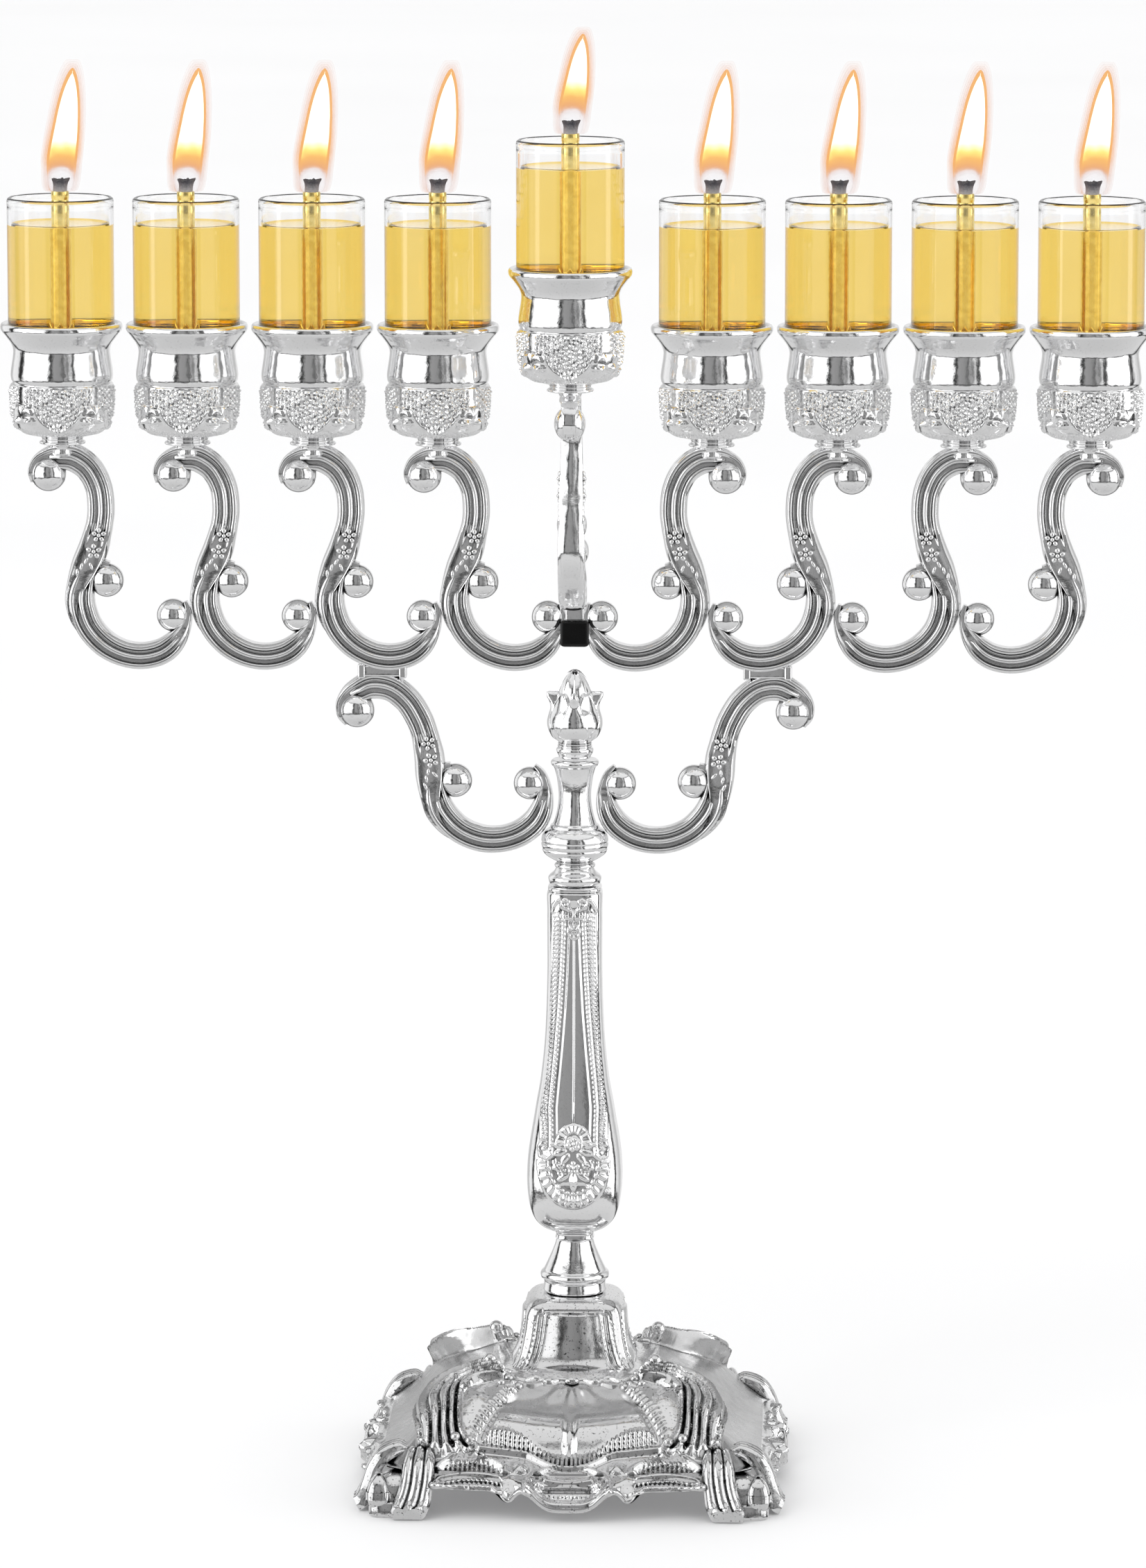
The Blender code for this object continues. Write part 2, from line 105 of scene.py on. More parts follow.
class Shape:
    """Closed surfaces, in millimetres, gathered into one mesh."""

    def __init__(self):
        self.points = []
        self.quads = []
        self.tris = []
        self.quad_slots = []
        self.tri_slots = []
        self.total = 0

    def add(self, points, quads=(), tris=(), slot=0):
        points = np.asarray(points, float).reshape(-1, 3)
        quads = np.asarray(quads, int).reshape(-1, 4)
        tris = np.asarray(tris, int).reshape(-1, 3)
        corners = np.concatenate([quads[:, [0, 1, 2]], quads[:, [0, 2, 3]], tris])
        a, b, c = (points[corners[:, k]] for k in range(3))
        if np.einsum("ij,ij->", a, np.cross(b, c)) < 0:
            quads, tris = quads[:, ::-1], tris[:, ::-1]
        self.points.append(points)
        self.quads.append(quads + self.total)
        self.tris.append(tris + self.total)
        self.quad_slots.append(np.broadcast_to(slot, len(quads)) if np.ndim(slot) == 0 else slot)
        self.tri_slots.append(np.zeros(len(tris), int) if np.ndim(slot) else np.full(len(tris), slot))
        self.total += len(points)

    def tube(self, rings, loop=False, row_slots=None):
        """Skin rows of rings. The ends are closed to their middle points, unless the rows loop."""
        rings = np.asarray(rings, float)
        rows, around = rings.shape[:2]
        index = np.arange(rows * around).reshape(rows, around)
        lower = np.roll(index, -1, axis=0) if loop else index[1:]
        upper = index if loop else index[:-1]
        quads = np.stack([upper, lower, np.roll(lower, -1, axis=1), np.roll(upper, -1, axis=1)], axis=-1)
        slots = 0
        if row_slots is not None:
            slots = np.repeat(row_slots, around) if np.ndim(row_slots) == 1 else np.reshape(row_slots, -1)
        points, tris = rings.reshape(-1, 3), []
        if not loop:
            points = np.vstack([points, rings[0].mean(axis=0), rings[-1].mean(axis=0)])
            for ring, pole, flip in ((index[0], rows * around, 1), (index[-1], rows * around + 1, -1)):
                after = np.roll(ring, -1)
                tris.append(np.stack([np.full(around, pole), ring, after][::flip], axis=-1))
            tris = np.concatenate(tris)
        self.add(points, quads.reshape(-1, 4), tris, slots)

    def ball(self, centre, radii, around=16, matrix=None):
        """Ellipsoid, squeezed to its three radii and then turned."""
        theta = np.linspace(0, math.pi, around // 2 + 1)[1:-1, None]
        phi = np.linspace(0, TAU, around, endpoint=False)[None, :]
        rings = np.stack([np.sin(theta) * np.cos(phi), np.sin(theta) * np.sin(phi),
                          np.cos(theta) + 0 * phi], axis=-1)
        top, bottom = np.array([0, 0, 1.0]), np.array([0, 0, -1.0])
        points = np.vstack([rings.reshape(-1, 3), top, bottom]) * np.broadcast_to(radii, 3)
        if matrix is not None:
            points = points @ np.array(matrix).T
        rows = len(rings)
        index = np.arange(rows * around).reshape(rows, around)
        turned = np.roll(index, -1, axis=1)
        quads = np.stack([index[:-1], index[1:], turned[1:], turned[:-1]], axis=-1).reshape(-1, 4)
        tris = np.concatenate([
            np.stack([np.full(around, rows * around), index[0], turned[0]], axis=-1),
            np.stack([np.full(around, rows * around + 1), turned[-1], index[-1]], axis=-1)])
        self.add(points + np.asarray(centre, float), quads, tris)

    def mesh(self, name, *materials, sharp=50):
        mesh = bpy.data.meshes.new(name)
        quads, tris = np.concatenate(self.quads), np.concatenate(self.tris)
        mesh.from_pydata((np.vstack(self.points) * MM).tolist(), [], quads.tolist() + tris.tolist())
        for material in materials:
            mesh.materials.append(material)
        if len(materials) > 1:
            slots = np.concatenate([*self.quad_slots, *self.tri_slots]).astype(np.int32)
            mesh.polygons.foreach_set("material_index", slots)
        mesh.shade_smooth()
        mesh.set_sharp_from_angle(angle=math.radians(sharp))
        mesh.update()
        return mesh


def lathe(profile, around, phase=0.0):
    """Rings of a turned shape from (radius, height) rows."""
    profile = np.asarray(profile, float)
    phi = np.linspace(0, TAU, around, endpoint=False)[None, :] + phase
    radius, height = profile[:, 0:1], profile[:, 1:2]
    return np.stack([radius * np.cos(phi), radius * np.sin(phi), height + 0 * phi], axis=-1)


def grid_normals(rings):
    """Outward unit normals of a ring grid that closes around its columns."""
    along = np.gradient(rings, axis=0)
    across = np.roll(rings, -1, axis=1) - np.roll(rings, 1, axis=1)
    normal = np.cross(across, along)
    normal /= np.maximum(np.linalg.norm(normal, axis=-1, keepdims=True), 1e-9)
    outward = np.einsum("ijk,ijk->", normal, rings - rings.mean(axis=1, keepdims=True))
    return normal if outward > 0 else -normal


def corners_path(*stretches, step=0.4):
    """Several smooth stretches joined with sharp corners between them."""
    parts = [smooth_path(points, step) for points in stretches]
    return np.vstack([parts[0]] + [part[1:] for part in parts[1:]])


def skinned_mesh(name, rings, materials, sharp=50, **skin):
    """Mesh of one closed skin over a ring grid."""
    shape = Shape()
    shape.tube(rings, **skin)
    return shape.mesh(name, *materials, sharp=sharp)


def add_piece(name, mesh, body, slot, replaces, location=(0, 0, 0), rotation=(0, 0, 0)):
    """Place a mesh (location in millimetres) as one piece that rides on a CAD body."""
    obj = bpy.data.objects.new(name, mesh)
    bpy.context.scene.collection.objects.link(obj)
    obj.matrix_world = Matrix.Translation(Vector(location) * MM) @ Euler(rotation).to_matrix().to_4x4()
    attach(obj, body)
    if replaces:
        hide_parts(*replaces)
    # oil and flames stay out of direct mirror reflections
    obj.visible_glossy = slot not in ("lamp_oil", "flame")
    return obj


# ---------------------------------------------------------------- materials

class Nodes:
    """Short way to write a node tree."""

    def __init__(self, tree):
        self.tree = tree

    def add(self, kind, **inputs):
        node = self.tree.nodes.new(kind)
        for key, value in inputs.items():
            self.put(node, key.replace("_", " "), value)
        return node

    def put(self, node, key, value):
        socket = node.inputs[int(key)] if key.isdigit() else node.inputs[key]
        if isinstance(value, bpy.types.NodeSocket):
            self.tree.links.new(value, socket)
        else:
            socket.default_value = value

    def remap(self, value, low, high, to_low, to_high):
        node = self.add("ShaderNodeMapRange", Value=value)
        node.inputs["From Min"].default_value = low
        node.inputs["From Max"].default_value = high
        node.inputs["To Min"].default_value = to_low
        node.inputs["To Max"].default_value = to_high
        return node.outputs["Result"]

    def math(self, operation, *values):
        node = self.add("ShaderNodeMath", **{str(k): value for k, value in enumerate(values)})
        node.operation = operation
        return node.outputs["Value"]

    def ramp(self, value, *stops):
        node = self.add("ShaderNodeValToRGB", Fac=value)
        elements = node.color_ramp.elements
        while len(elements) < len(stops):
            elements.new(0.5)
        for element, (position, colour) in zip(elements, stops):
            element.position = position
            element.color = (*colour, 1.0)
        return node.outputs["Color"]


class Look(Nodes):
    """Nodes of one material, around its Principled shader."""

    def __init__(self, name):
        self.material = bpy.data.materials.new(name)
        self.material.use_nodes = True
        super().__init__(self.material.node_tree)
        self.shader = self.tree.nodes["Principled BSDF"]
        self.place = self.add("ShaderNodeTexCoord").outputs["Object"]

    def noise(self, scale, detail=3.0, roughness=0.5, vector=None):
        return self.add("ShaderNodeTexNoise", Vector=vector or self.place, Scale=scale, Detail=detail,
                        Roughness=roughness).outputs["Fac"]

    def bump(self, height, distance, strength=1.0, normal=None):
        node = self.add("ShaderNodeBump", Height=height, Distance=distance, Strength=strength)
        if normal is not None:
            self.put(node, "Normal", normal)
        return node.outputs["Normal"]

    def set(self, **inputs):
        for key, value in inputs.items():
            self.put(self.shader, key.replace("_", " "), value)
        return self


def grey(value):
    return (value, value, value * 1.005)


def silver_material(name, rough=0.03, shade=1.0, specks=0.25, crease_shade_from=0.2, crease_shade_to=0.85):
    """Bright silver plate over a slightly uneven casting, with painted shade in its creases and blackened
    pits.
    """
    n = Look(name)
    # painted shade: the ambient occlusion below darkens the colour in creases and hollows, where shade falls
    crease_shade = n.add("ShaderNodeAmbientOcclusion", Distance=1.2 * MM)
    crease_shade.samples = 6
    crease_shade.only_local = True
    pits = n.remap(n.noise(1900.0, 4.0, 0.6), 0.58, 0.66, 0.0, specks)
    tone = n.math("SUBTRACT", n.remap(crease_shade.outputs["AO"], crease_shade_from, crease_shade_to, 0.0, 1.0), pits)
    colour = n.ramp(tone, (0.0, grey(0.02)), (0.3, grey(0.28 * shade)), (0.55, grey(0.84 * shade)),
                    (1.0, grey(0.97 * shade)))
    finish = n.noise(420.0, 4.0)
    height = n.bump(n.noise(260.0, 2.0), 0.35 * MM, 0.3)
    height = n.bump(n.noise(850.0, 4.0, 0.6), 0.03 * MM, 0.7, height)
    height = n.bump(n.noise(2600.0, 4.0, 0.65), 0.03 * MM, 0.3, height)
    n.set(Base_Color=colour, Metallic=1.0, Normal=height,
          Roughness=n.remap(finish, 0.3, 0.7, rough, 1.4 * rough + 0.05))
    return n.material


def steel_material():
    n = Look("zinc_steel_look")
    finish = n.noise(900.0, 4.0)
    n.set(Base_Color=n.ramp(finish, (0.3, (0.42, 0.43, 0.45)), (0.7, (0.62, 0.62, 0.60))), Metallic=1.0,
          Roughness=n.remap(finish, 0.3, 0.7, 0.25, 0.42), Normal=n.bump(finish, 0.05 * MM, 0.4))
    return n.material


def brass_material():
    n = Look("brass_look")
    streak = n.add("ShaderNodeMapping", Vector=n.place, Scale=(1.0, 1.0, 0.06)).outputs["Vector"]
    drawn = n.noise(2400.0, 3.0, vector=streak)
    n.set(Base_Color=n.ramp(n.noise(700.0), (0.3, (0.84, 0.62, 0.17)), (0.7, (0.98, 0.79, 0.31))),
          Metallic=1.0, Roughness=n.remap(drawn, 0.3, 0.7, 0.2, 0.3), Normal=n.bump(drawn, 0.03 * MM, 0.4))
    return n.material


def glass_material(name, ior, tint=(0.97, 0.972, 0.975)):
    n = Look(name)
    smear = n.noise(160.0, 2.0)
    clean = tuple(min(1.0, c * 1.005) for c in tint)
    n.set(Base_Color=n.ramp(smear, (0.3, tint), (0.7, clean)), Roughness=0.0)
    n.shader.inputs["IOR"].default_value = ior
    n.shader.inputs["Transmission Weight"].default_value = 1.0
    return n.material


def oil_material(name, ior, tint):
    n = Look(name)
    cloud = n.noise(110.0, 2.0)
    deep = tuple(c * f for c, f in zip(tint, (0.99, 0.975, 0.90)))
    n.set(Base_Color=n.ramp(cloud, (0.35, deep), (0.65, tint)), Roughness=0.0)
    n.shader.inputs["IOR"].default_value = ior
    n.shader.inputs["Transmission Weight"].default_value = 1.0
    return n.material


def wick_material():
    """Cotton that is grey with ash above the tube and charred black at its top."""
    n = Look("wick_look")
    height = n.add("ShaderNodeSeparateXYZ", Vector=n.place).outputs["Z"]
    fibre = n.noise(3200.0, 5.0, 0.7)
    level = n.math("ADD", n.remap(height, 27.5 * MM, 30.3 * MM, 0.0, 1.0),
                   n.remap(fibre, 0.3, 0.7, -0.14, 0.14))
    char = n.ramp(level, (0.0, grey(0.50)), (0.35, grey(0.26)), (0.75, grey(0.03)), (1.0, grey(0.008)))
    n.set(Base_Color=char, Roughness=0.95, Normal=n.bump(fibre, 0.3 * MM, 0.9))
    return n.material


def flame_material(name, colours, alphas, strength):
    """Glow whose colour and cover grow away from the dark arch around the wick."""
    n = Look(name)
    arch = n.add("ShaderNodeMapping", Vector=n.place, Scale=(1 / (2.7 * MM), 0.0, 1 / (3.7 * MM)),
                 Location=(-0.3 / 2.7, 0.0, -(FLAME_BOTTOM + 1.8) / 3.7)).outputs["Vector"]
    distance = n.add("ShaderNodeVectorMath", **{"0": arch})
    distance.operation = "LENGTH"
    flicker = n.remap(n.noise(140.0, 2.0), 0.3, 0.7, -0.04, 0.04)
    level = n.math("MULTIPLY_ADD", distance.outputs["Value"], 1 / FLAME_LEVELS, flicker)
    cover = n.ramp(level, *[(p / FLAME_LEVELS, (a, a, a)) for p, a in alphas])
    glow = n.ramp(level, *[(p / FLAME_LEVELS, colour) for p, colour in colours])
    n.set(Base_Color=(0.0, 0.0, 0.0, 1.0), Emission_Color=glow, Emission_Strength=strength, Alpha=cover,
          Roughness=1.0)
    n.shader.inputs["Specular IOR Level"].default_value = 0.0
    n.material.cycles.emission_sampling = "NONE"
    return n.material


FLAME_BOTTOM = 27.6
FLAME_HEIGHT = 25.5
FLAME_LEVELS = 7.0
# Height above the tube, sideways lean and half-width of the orange skin.
FLAME_OUTLINE = (
    (-0.3, 0.1, 0.5), (0.0, 0.1, 2.0), (0.6, 0.15, 2.5), (1.8, 0.2, 2.8), (3.8, 0.33, 2.95),
    (6.4, 0.45, 3.12), (9.1, 0.8, 3.1), (11.8, 1.2, 2.97), (14.5, 1.55, 2.75), (16.4, 1.78, 2.58),
    (19.6, 2.15, 2.15),
    (22.4, 2.5, 1.55), (24.4, 2.75, 0.85), (25.2, 2.86, 0.4), (25.5, 2.9, 0.05))


# ---------------------------------------------------------------- scroll arms

# Across a stroke, from its middle line to its edge: where, how much of the channel, how much of the rib.
CHANNEL_SECTION = (
    (0.0, 1, 1.0), (0.09, 1, 0.93), (0.17, 1, 0.66), (0.23, 1, 0.22), (0.28, 1, 0), (0.36, 1, 0),
    (0.46, 1, 0), (0.53, 0.86, 0), (0.58, 0.5, 0), (0.63, 0.15, 0), (0.69, 0, 0), (0.77, 0, 0), (0.86, 0, 0))
EDGE_SECTION = ((0.92, 0.1), (0.99, 0.4), (1.06, 0.9), (1.11, 1.5), (1.14, 2.4))


def stroke_rings(stroke):
    """Rings of a flat bar with a channel in both faces, along a stroke in the x-z plane."""
    rows = smooth_path(stroke, 0.36)
    x, z, wide, thick, channel, rib = rows.T
    channel, rib = np.clip(channel, 0, None), np.clip(rib, 0, None)
    direction = np.gradient(rows[:, :2], axis=0)
    direction /= np.linalg.norm(direction, axis=1, keepdims=True)
    across = np.column_stack([-direction[:, 1], direction[:, 0]])
    half = []
    for place, dip, ridge in CHANNEL_SECTION:
        crown = 0.28 * place**2 * np.clip(1 - channel, 0, 1)
        half.append((place * wide, thick - dip * channel + ridge * rib - crown * wide / 2.5))
    for place, drop in EDGE_SECTION:
        half.append((place * wide - 0.02, thick - np.minimum(drop * wide / 2.4, thick * 0.85)))
    front = [(-u, v) for u, v in half[:0:-1]] + half
    back = [(u, -v) for u, v in front[::-1]]
    rings = [np.column_stack([x + across[:, 0] * u, v, z + across[:, 1] * u]) for u, v in front + back]
    return np.stack(rings, axis=1)


def head_profile(radius):
    """Half of a scroll head, from the middle of its ball to the low rim around it."""
    bead = radius - 0.3
    rows = [(bead * math.sin(a), 0.75 + bead * 0.74 * math.cos(a)) for a in np.linspace(0, math.pi / 2, 14)]
    rows += [(radius - 0.22, 0.7), (radius - 0.08, 0.72), (radius, 0.5), (radius + 0.02, 0.2)]
    return rows + [(r, -z) for r, z in rows[::-1]]


def scroll_arm_mesh(name, *materials):
    shape = Shape()
    for stroke in (UPPER_STROKE, LOWER_STROKE):
        shape.tube(stroke_rings(stroke))
    for (x, z), radius in zip(SCROLL_HEADS, (3.65, 3.5, 3.4)):
        turned = lathe(head_profile(radius), 44)
        shape.tube(np.stack([turned[..., 0] + x, turned[..., 2], turned[..., 1] + z], axis=-1))
    for face in (-1, 1):
        for x, z, size in FLOWERS:
            shape.ball((x, face * 2.55, z), (0.48 * size, 0.55, 0.48 * size), 12)
            for petal in range(5):
                a = TAU * petal / 5 + 0.3
                turn = Matrix.Rotation(-a, 3, "Y")
                shape.ball((x + 0.98 * size * math.cos(a), face * 2.35, z + 0.98 * size * math.sin(a)),
                           (0.66 * size, 0.5, 0.5 * size), 12, turn)
        for x, z, angle in LEAVES:
            shape.ball((x, face * 2.3, z), (0.95, 0.42, 0.36), 10,
                       Matrix.Rotation(-math.radians(angle + 40), 3, "Y"))
    return shape.mesh(name, *materials)


# ---------------------------------------------------------------- cups

HOLDER_OUTLINE = (
    ((9.2, -3.5), (10.6, -3.0), (11.25, -2.0), (11.35, -0.6), (11.6, 0.1), (12.1, 0.35), (12.5, 0.15),
     (12.68, -0.45), (12.55, -1.15), (12.15, -1.7)),
    ((12.15, -1.7), (11.8, -2.1), (11.2, -2.9), (10.5, -3.9), (10.05, -5.2), (10.12, -6.6), (10.36, -8.2),
     (10.56, -9.6), (10.62, -10.6), (10.5, -11.5)),
    ((10.5, -11.5), (10.25, -11.9), (10.3, -12.2), (10.62, -12.4)),
    ((10.62, -12.4), (10.74, -13.4), (10.74, -16.0), (10.5, -18.2), (9.95, -20.2), (9.0, -21.7),
     (7.4, -22.7), (5.6, -23.2), (4.7, -23.4)),
    ((4.7, -23.4), (4.3, -23.75), (4.25, -24.2), (4.75, -24.5), (4.8, -24.8), (4.4, -25.0),
     (2.7, -25.2), (2.2, -25.9), (2.2, -27.2), (0.2, -27.2)))
PANEL = TAU / 4
HOLDER_COLUMNS = 400


def dots(a, b, pitch, seed=3):
    """Round studs on a jittered hexagonal grid, 1 on a stud's middle."""
    a, b = 0.85 * a - 0.527 * b, 0.527 * a + 0.85 * b
    row = np.round(b / (pitch * 0.866))
    shift = 0.5 * (row % 2)
    column = np.round(a / pitch - shift)
    jitter = np.sin(column * 12.9898 + row * 78.233 + seed) * 43758.5453
    jitter = jitter - np.floor(jitter)
    centre_a = (column + shift + 0.45 * (jitter - 0.5)) * pitch
    centre_b = (row + 0.5 * (jitter * 7 % 1 - 0.5)) * pitch * 0.866
    return bump(np.hypot(a - centre_a, b - centre_b), 0.6 * pitch) ** 0.8


def holder_mesh(name, *materials):
    """Cast cup: flared lip, bright waist, and a lower half with stippled medallions and leaf panels."""
    outline = np.vstack([corners_path(*HOLDER_OUTLINE[:3], step=0.35),
                         corners_path(*HOLDER_OUTLINE[3:], step=0.16)[1:]])
    rings = lathe(outline, HOLDER_COLUMNS)
    radius, z = outline[:, 0:1], outline[:, 1:2]
    angle = (np.arctan2(rings[..., 0], -rings[..., 1]) + PANEL / 2) % PANEL - PANEL / 2
    s = angle * 10.4
    medallion = np.hypot(s, z + 16.4)
    inside = np.maximum(ramp(-17.0, -16.6, z), ramp(4.7, 4.4, medallion)) * ramp(7.3, 6.7, np.abs(s))
    inside = inside * ramp(-12.5, -12.9, z) * ramp(-21.4, -21.0, z)
    relief = inside * (0.55 * dots(s, z, 1.08) - 0.26)
    border = np.where(z < -16.4, medallion - 4.85, np.hypot(z + 16.4, np.maximum(0, 4.85 - np.abs(s))))
    lower = ramp(-12.9, -13.6, z)
    relief += 0.22 * bump(medallion - 2.6, 0.35) * inside + 0.28 * bump(border, 0.42) * ramp(-21.8, -21.2, z)
    leaf = np.hypot((np.abs(s) - 7.0) / 2.0, (z + 18.2) / 2.3)
    relief += 0.42 * ramp(1.0, 0.55, leaf) * lower
    boss = np.hypot((np.abs(s) - 6.3) / 1.75, (z + 19.4) / 0.95)
    relief += 0.75 * ramp(1.0, 0.2, boss)
    fan = ramp(2.2, 1.9, np.hypot(s, (z + 21.8) * 1.25)) * ramp(-21.9, -21.5, z)
    relief += fan * (0.2 + 0.2 * np.cos(9 * np.arctan2(s, z + 22.4)))
    rim_band = ramp(-21.3, -21.6, z) * ramp(-22.9, -22.5, z)
    relief += rim_band * 0.22 * dots(s, z, 0.75, 5)
    rings += grid_normals(rings) * relief[..., None]
    well = lathe([(8.0, -19.0), (8.0, -5.0), (8.3, -3.8), (9.2, -3.5)], HOLDER_COLUMNS)
    return skinned_mesh(name, np.vstack([well[:-1], rings]), materials)


OIL_TOP = 20.7
GLASS_COLUMNS = 96
GLASS_OUTLINE = (
    ((0.15, -3.2), (7.6, -3.2)), ((7.6, -3.2), (9.6, -3.0), (10.75, -2.2), (11.05, -0.8)),
    ((11.05, -0.8), (11.05, 25.0)),
    ((11.05, 25.0), (11.08, 25.6), (10.95, 26.1), (10.55, 26.35), (10.15, 26.2), (9.95, 25.7), (10.0, 25.0),
     (10.2, 24.2)))
GLASS_INSIDE = (((10.2, 24.2), (10.2, OIL_TOP)), ((10.2, OIL_TOP), (10.2, -0.2)),
                ((10.2, -0.2), (9.9, -1.2), (8.6, -1.7), (0.15, -1.7)))


def glass_mesh(name, outer, wetted):
    """Glass cup. Its inner wall below the oil takes the wetted material."""
    outline = corners_path(*GLASS_OUTLINE, *GLASS_INSIDE, step=0.5)
    rings = lathe(outline, GLASS_COLUMNS)
    start = next(i for i in range(len(outline)) if outline[i, 0] < 10.25 and outline[i, 1] < OIL_TOP + 0.01
                 and i > len(outline) / 2)
    slots = np.where(np.arange(len(outline) - 1) >= start, 1, 0)
    return skinned_mesh(name, rings, (outer, wetted), 60, row_slots=slots)


def oil_mesh(name, surface, body):
    """Oil inside the glass, with a small meniscus at the wall."""
    wall = 10.15
    top = [(0.15, OIL_TOP), (1.9, OIL_TOP), (8.8, OIL_TOP), (9.7, OIL_TOP + 0.1), (wall, OIL_TOP + 0.4)]
    side = [(wall, 12.0), (wall, -0.15), (9.84, -1.14), (8.58, -1.64), (0.15, -1.64)]
    slots = np.array([0] * (len(top) - 1) + [1] * len(side))
    return skinned_mesh(name, lathe(top + side, GLASS_COLUMNS), (surface, body), 40, row_slots=slots)


def tube_mesh(name, *materials):
    """Drawn brass tube with a rolled lip, on a star of bent prongs."""
    shape = Shape()
    foot = -1.4
    profile = [(1.5, 27.35), (1.58, 27.58), (1.74, 27.6), (1.84, 27.4), (1.84, 26.1), (1.76, 25.95),
               (1.76, 25.7), (1.86, 25.5), (1.86, foot + 1.2), (1.9, foot + 0.9), (2.0, foot + 0.6),
               (2.1, foot + 0.4), (2.1, foot + 0.1), (1.5, foot + 0.1)]
    shape.tube(lathe(profile, 40), loop=True)
    for prong in range(6):
        turn = np.array(Matrix.Rotation(TAU * (prong + 0.5) / 6, 3, "Z")).T
        rings = []
        for out, up, wide in ((1.8, 0.35, 0.85), (2.05, 0.4, 0.8), (2.2, 0.8, 0.6), (2.3, 1.3, 0.35),
                              (2.35, 1.8, 0.08)):
            base = np.array([(out, -wide, foot + up - 0.16), (out, wide, foot + up - 0.16),
                             (out - 0.1, wide, foot + up + 0.16), (out - 0.1, -wide, foot + up + 0.16)])
            rings.append(base @ turn)
        shape.tube(np.array(rings))
    return shape.mesh(name, *materials, sharp=35)


def wick_mesh(name, *materials):
    """Cotton wick: narrow in the tube, flared and ragged where it burns."""
    phi = np.linspace(0, TAU, 48, endpoint=False)[None, :]
    rows = np.array([(0.2, 2.5), (1.3, 2.6), (1.34, 15.0), (1.34, 27.5), (1.4, 27.85), (1.4, 28.3),
                     (1.42, 28.9), (1.52, 29.4), (1.7, 29.8), (1.68, 30.0), (1.0, 30.05), (0.3, 30.0)])
    radius, z = rows[:, 0:1], rows[:, 1:2]
    top = ramp(27.7, 30.1, z)
    ragged = 0.16 * np.sin(3 * phi + 1.0) + 0.1 * np.sin(7 * phi)
    strands = 0.055 * np.cos(14 * phi + z * 1.3) + top * ragged
    radius = radius * (1 + strands * ramp(27.3, 27.9, z))
    z = z + top * ramp(0.6, 1.4, rows[:, 0:1]) * (0.24 * np.sin(5 * phi + 0.6) + 0.16 * np.sin(11 * phi))
    rings = np.stack([radius * np.cos(phi), radius * np.sin(phi), z], axis=-1)
    return skinned_mesh(name, rings, materials, sharp=60)


def flame_rings(offset, height):
    """One closed skin of the flame, grown outwards by the offset."""
    rows = smooth_path(FLAME_OUTLINE, 0.25)
    level, lean, half = rows.T
    scale = height / FLAME_HEIGHT
    z = FLAME_BOTTOM + level * scale * (1 + 1.4 * offset / FLAME_HEIGHT)
    phi = np.linspace(0, TAU, 48, endpoint=False)[None, :]
    wide = np.clip(half * math.sqrt(scale) + offset, 0.03, None)[:, None]
    return np.stack([lean[:, None] * math.sqrt(scale) + wide * np.cos(phi), 0.9 * wide * np.sin(phi),
                     z[:, None] + 0 * phi], axis=-1)


# ---------------------------------------------------------------- relief helpers

def near_path(a, b, path):
    """Distance from each point to a polyline, and how far along it the nearest place is."""
    path = np.asarray(path, float)
    best = np.full(np.shape(a), 1e9)
    along = np.zeros(np.shape(a))
    start = 0.0
    for (ax, az), (bx, bz) in zip(path[:-1], path[1:]):
        dx, dz = bx - ax, bz - az
        length = math.hypot(dx, dz)
        t = np.clip(((a - ax) * dx + (b - az) * dz) / length**2, 0, 1)
        gap = np.hypot(a - ax - t * dx, b - az - t * dz)
        closer = gap < best
        best = np.where(closer, gap, best)
        along = np.where(closer, start + t * length, along)
        start += length
    return best, along


def cord(a, b, path, height, width, step=None):
    """Rounded cord along a path, smoothed first when it has a step."""
    gap, _ = near_path(a, b, path if step is None else smooth_path(path, step))
    return height * bump(gap, width)


def floret(a, b, at, size, petals=5, turn=0.3):
    """Small open flower, 1 at its highest."""
    x, z = (a - at[0]) / size, (b - at[1]) / size
    height = 0.9 * bump(np.hypot(x, z), 0.34)
    for k in range(petals):
        angle = TAU * k / petals + turn
        away = np.hypot(x - 0.6 * math.cos(angle), z - 0.6 * math.sin(angle))
        height = np.maximum(height, 0.8 * bump(away, 0.42))
    return height


def leaf(a, b, start, end, wide):
    """Pointed leaf with a vein, between two points."""
    (ax, az), (bx, bz) = start, end
    length = math.hypot(bx - ax, bz - az)
    ux, uz = (bx - ax) / length, (bz - az) / length
    t = ((a - ax) * ux + (b - az) * uz) / length
    side = (-(a - ax) * uz + (b - az) * ux) / wide
    half = np.clip(np.sin(math.pi * np.clip(t, 0, 1) ** 0.8), 0.02, 1) ** 0.8
    body = np.where((t > 0) & (t < 1), bump(side, half), 0)
    return body * (1 - 0.35 * bump(side, 0.16))


# ---------------------------------------------------------------- stem

BALUSTER_OUTLINE = (
    ((0.2, 126.2), (5.1, 126.2)), ((5.1, 126.2), (5.55, 125.95), (5.6, 125.5), (5.35, 125.2)),
    ((5.35, 125.2), (5.7, 124.9), (5.75, 121.0), (5.75, 115.0), (5.75, 108.3), (5.95, 100.0), (6.3, 93.3),
     (6.75, 88.5), (7.3, 84.2), (8.05, 80.0), (8.7, 76.0), (9.3, 72.5), (9.7, 69.5), (9.95, 66.5),
     (10.0, 63.5), (9.8, 60.5), (9.3, 57.6), (8.3, 55.2), (6.7, 53.6), (5.2, 52.8)),
    ((5.2, 52.8), (4.3, 52.4), (3.95, 51.9), (3.9, 51.3), (4.1, 50.95), (3.6, 50.9), (0.2, 50.9)))
# Half-width of the mirror strip, by height.
STRIP_HALF = ((50, 3.6), (76, 3.6), (80, 3.7), (84, 3.35), (92, 2.6), (100, 1.95), (108, 1.5), (118, 1.1),
              (130, 1.0))


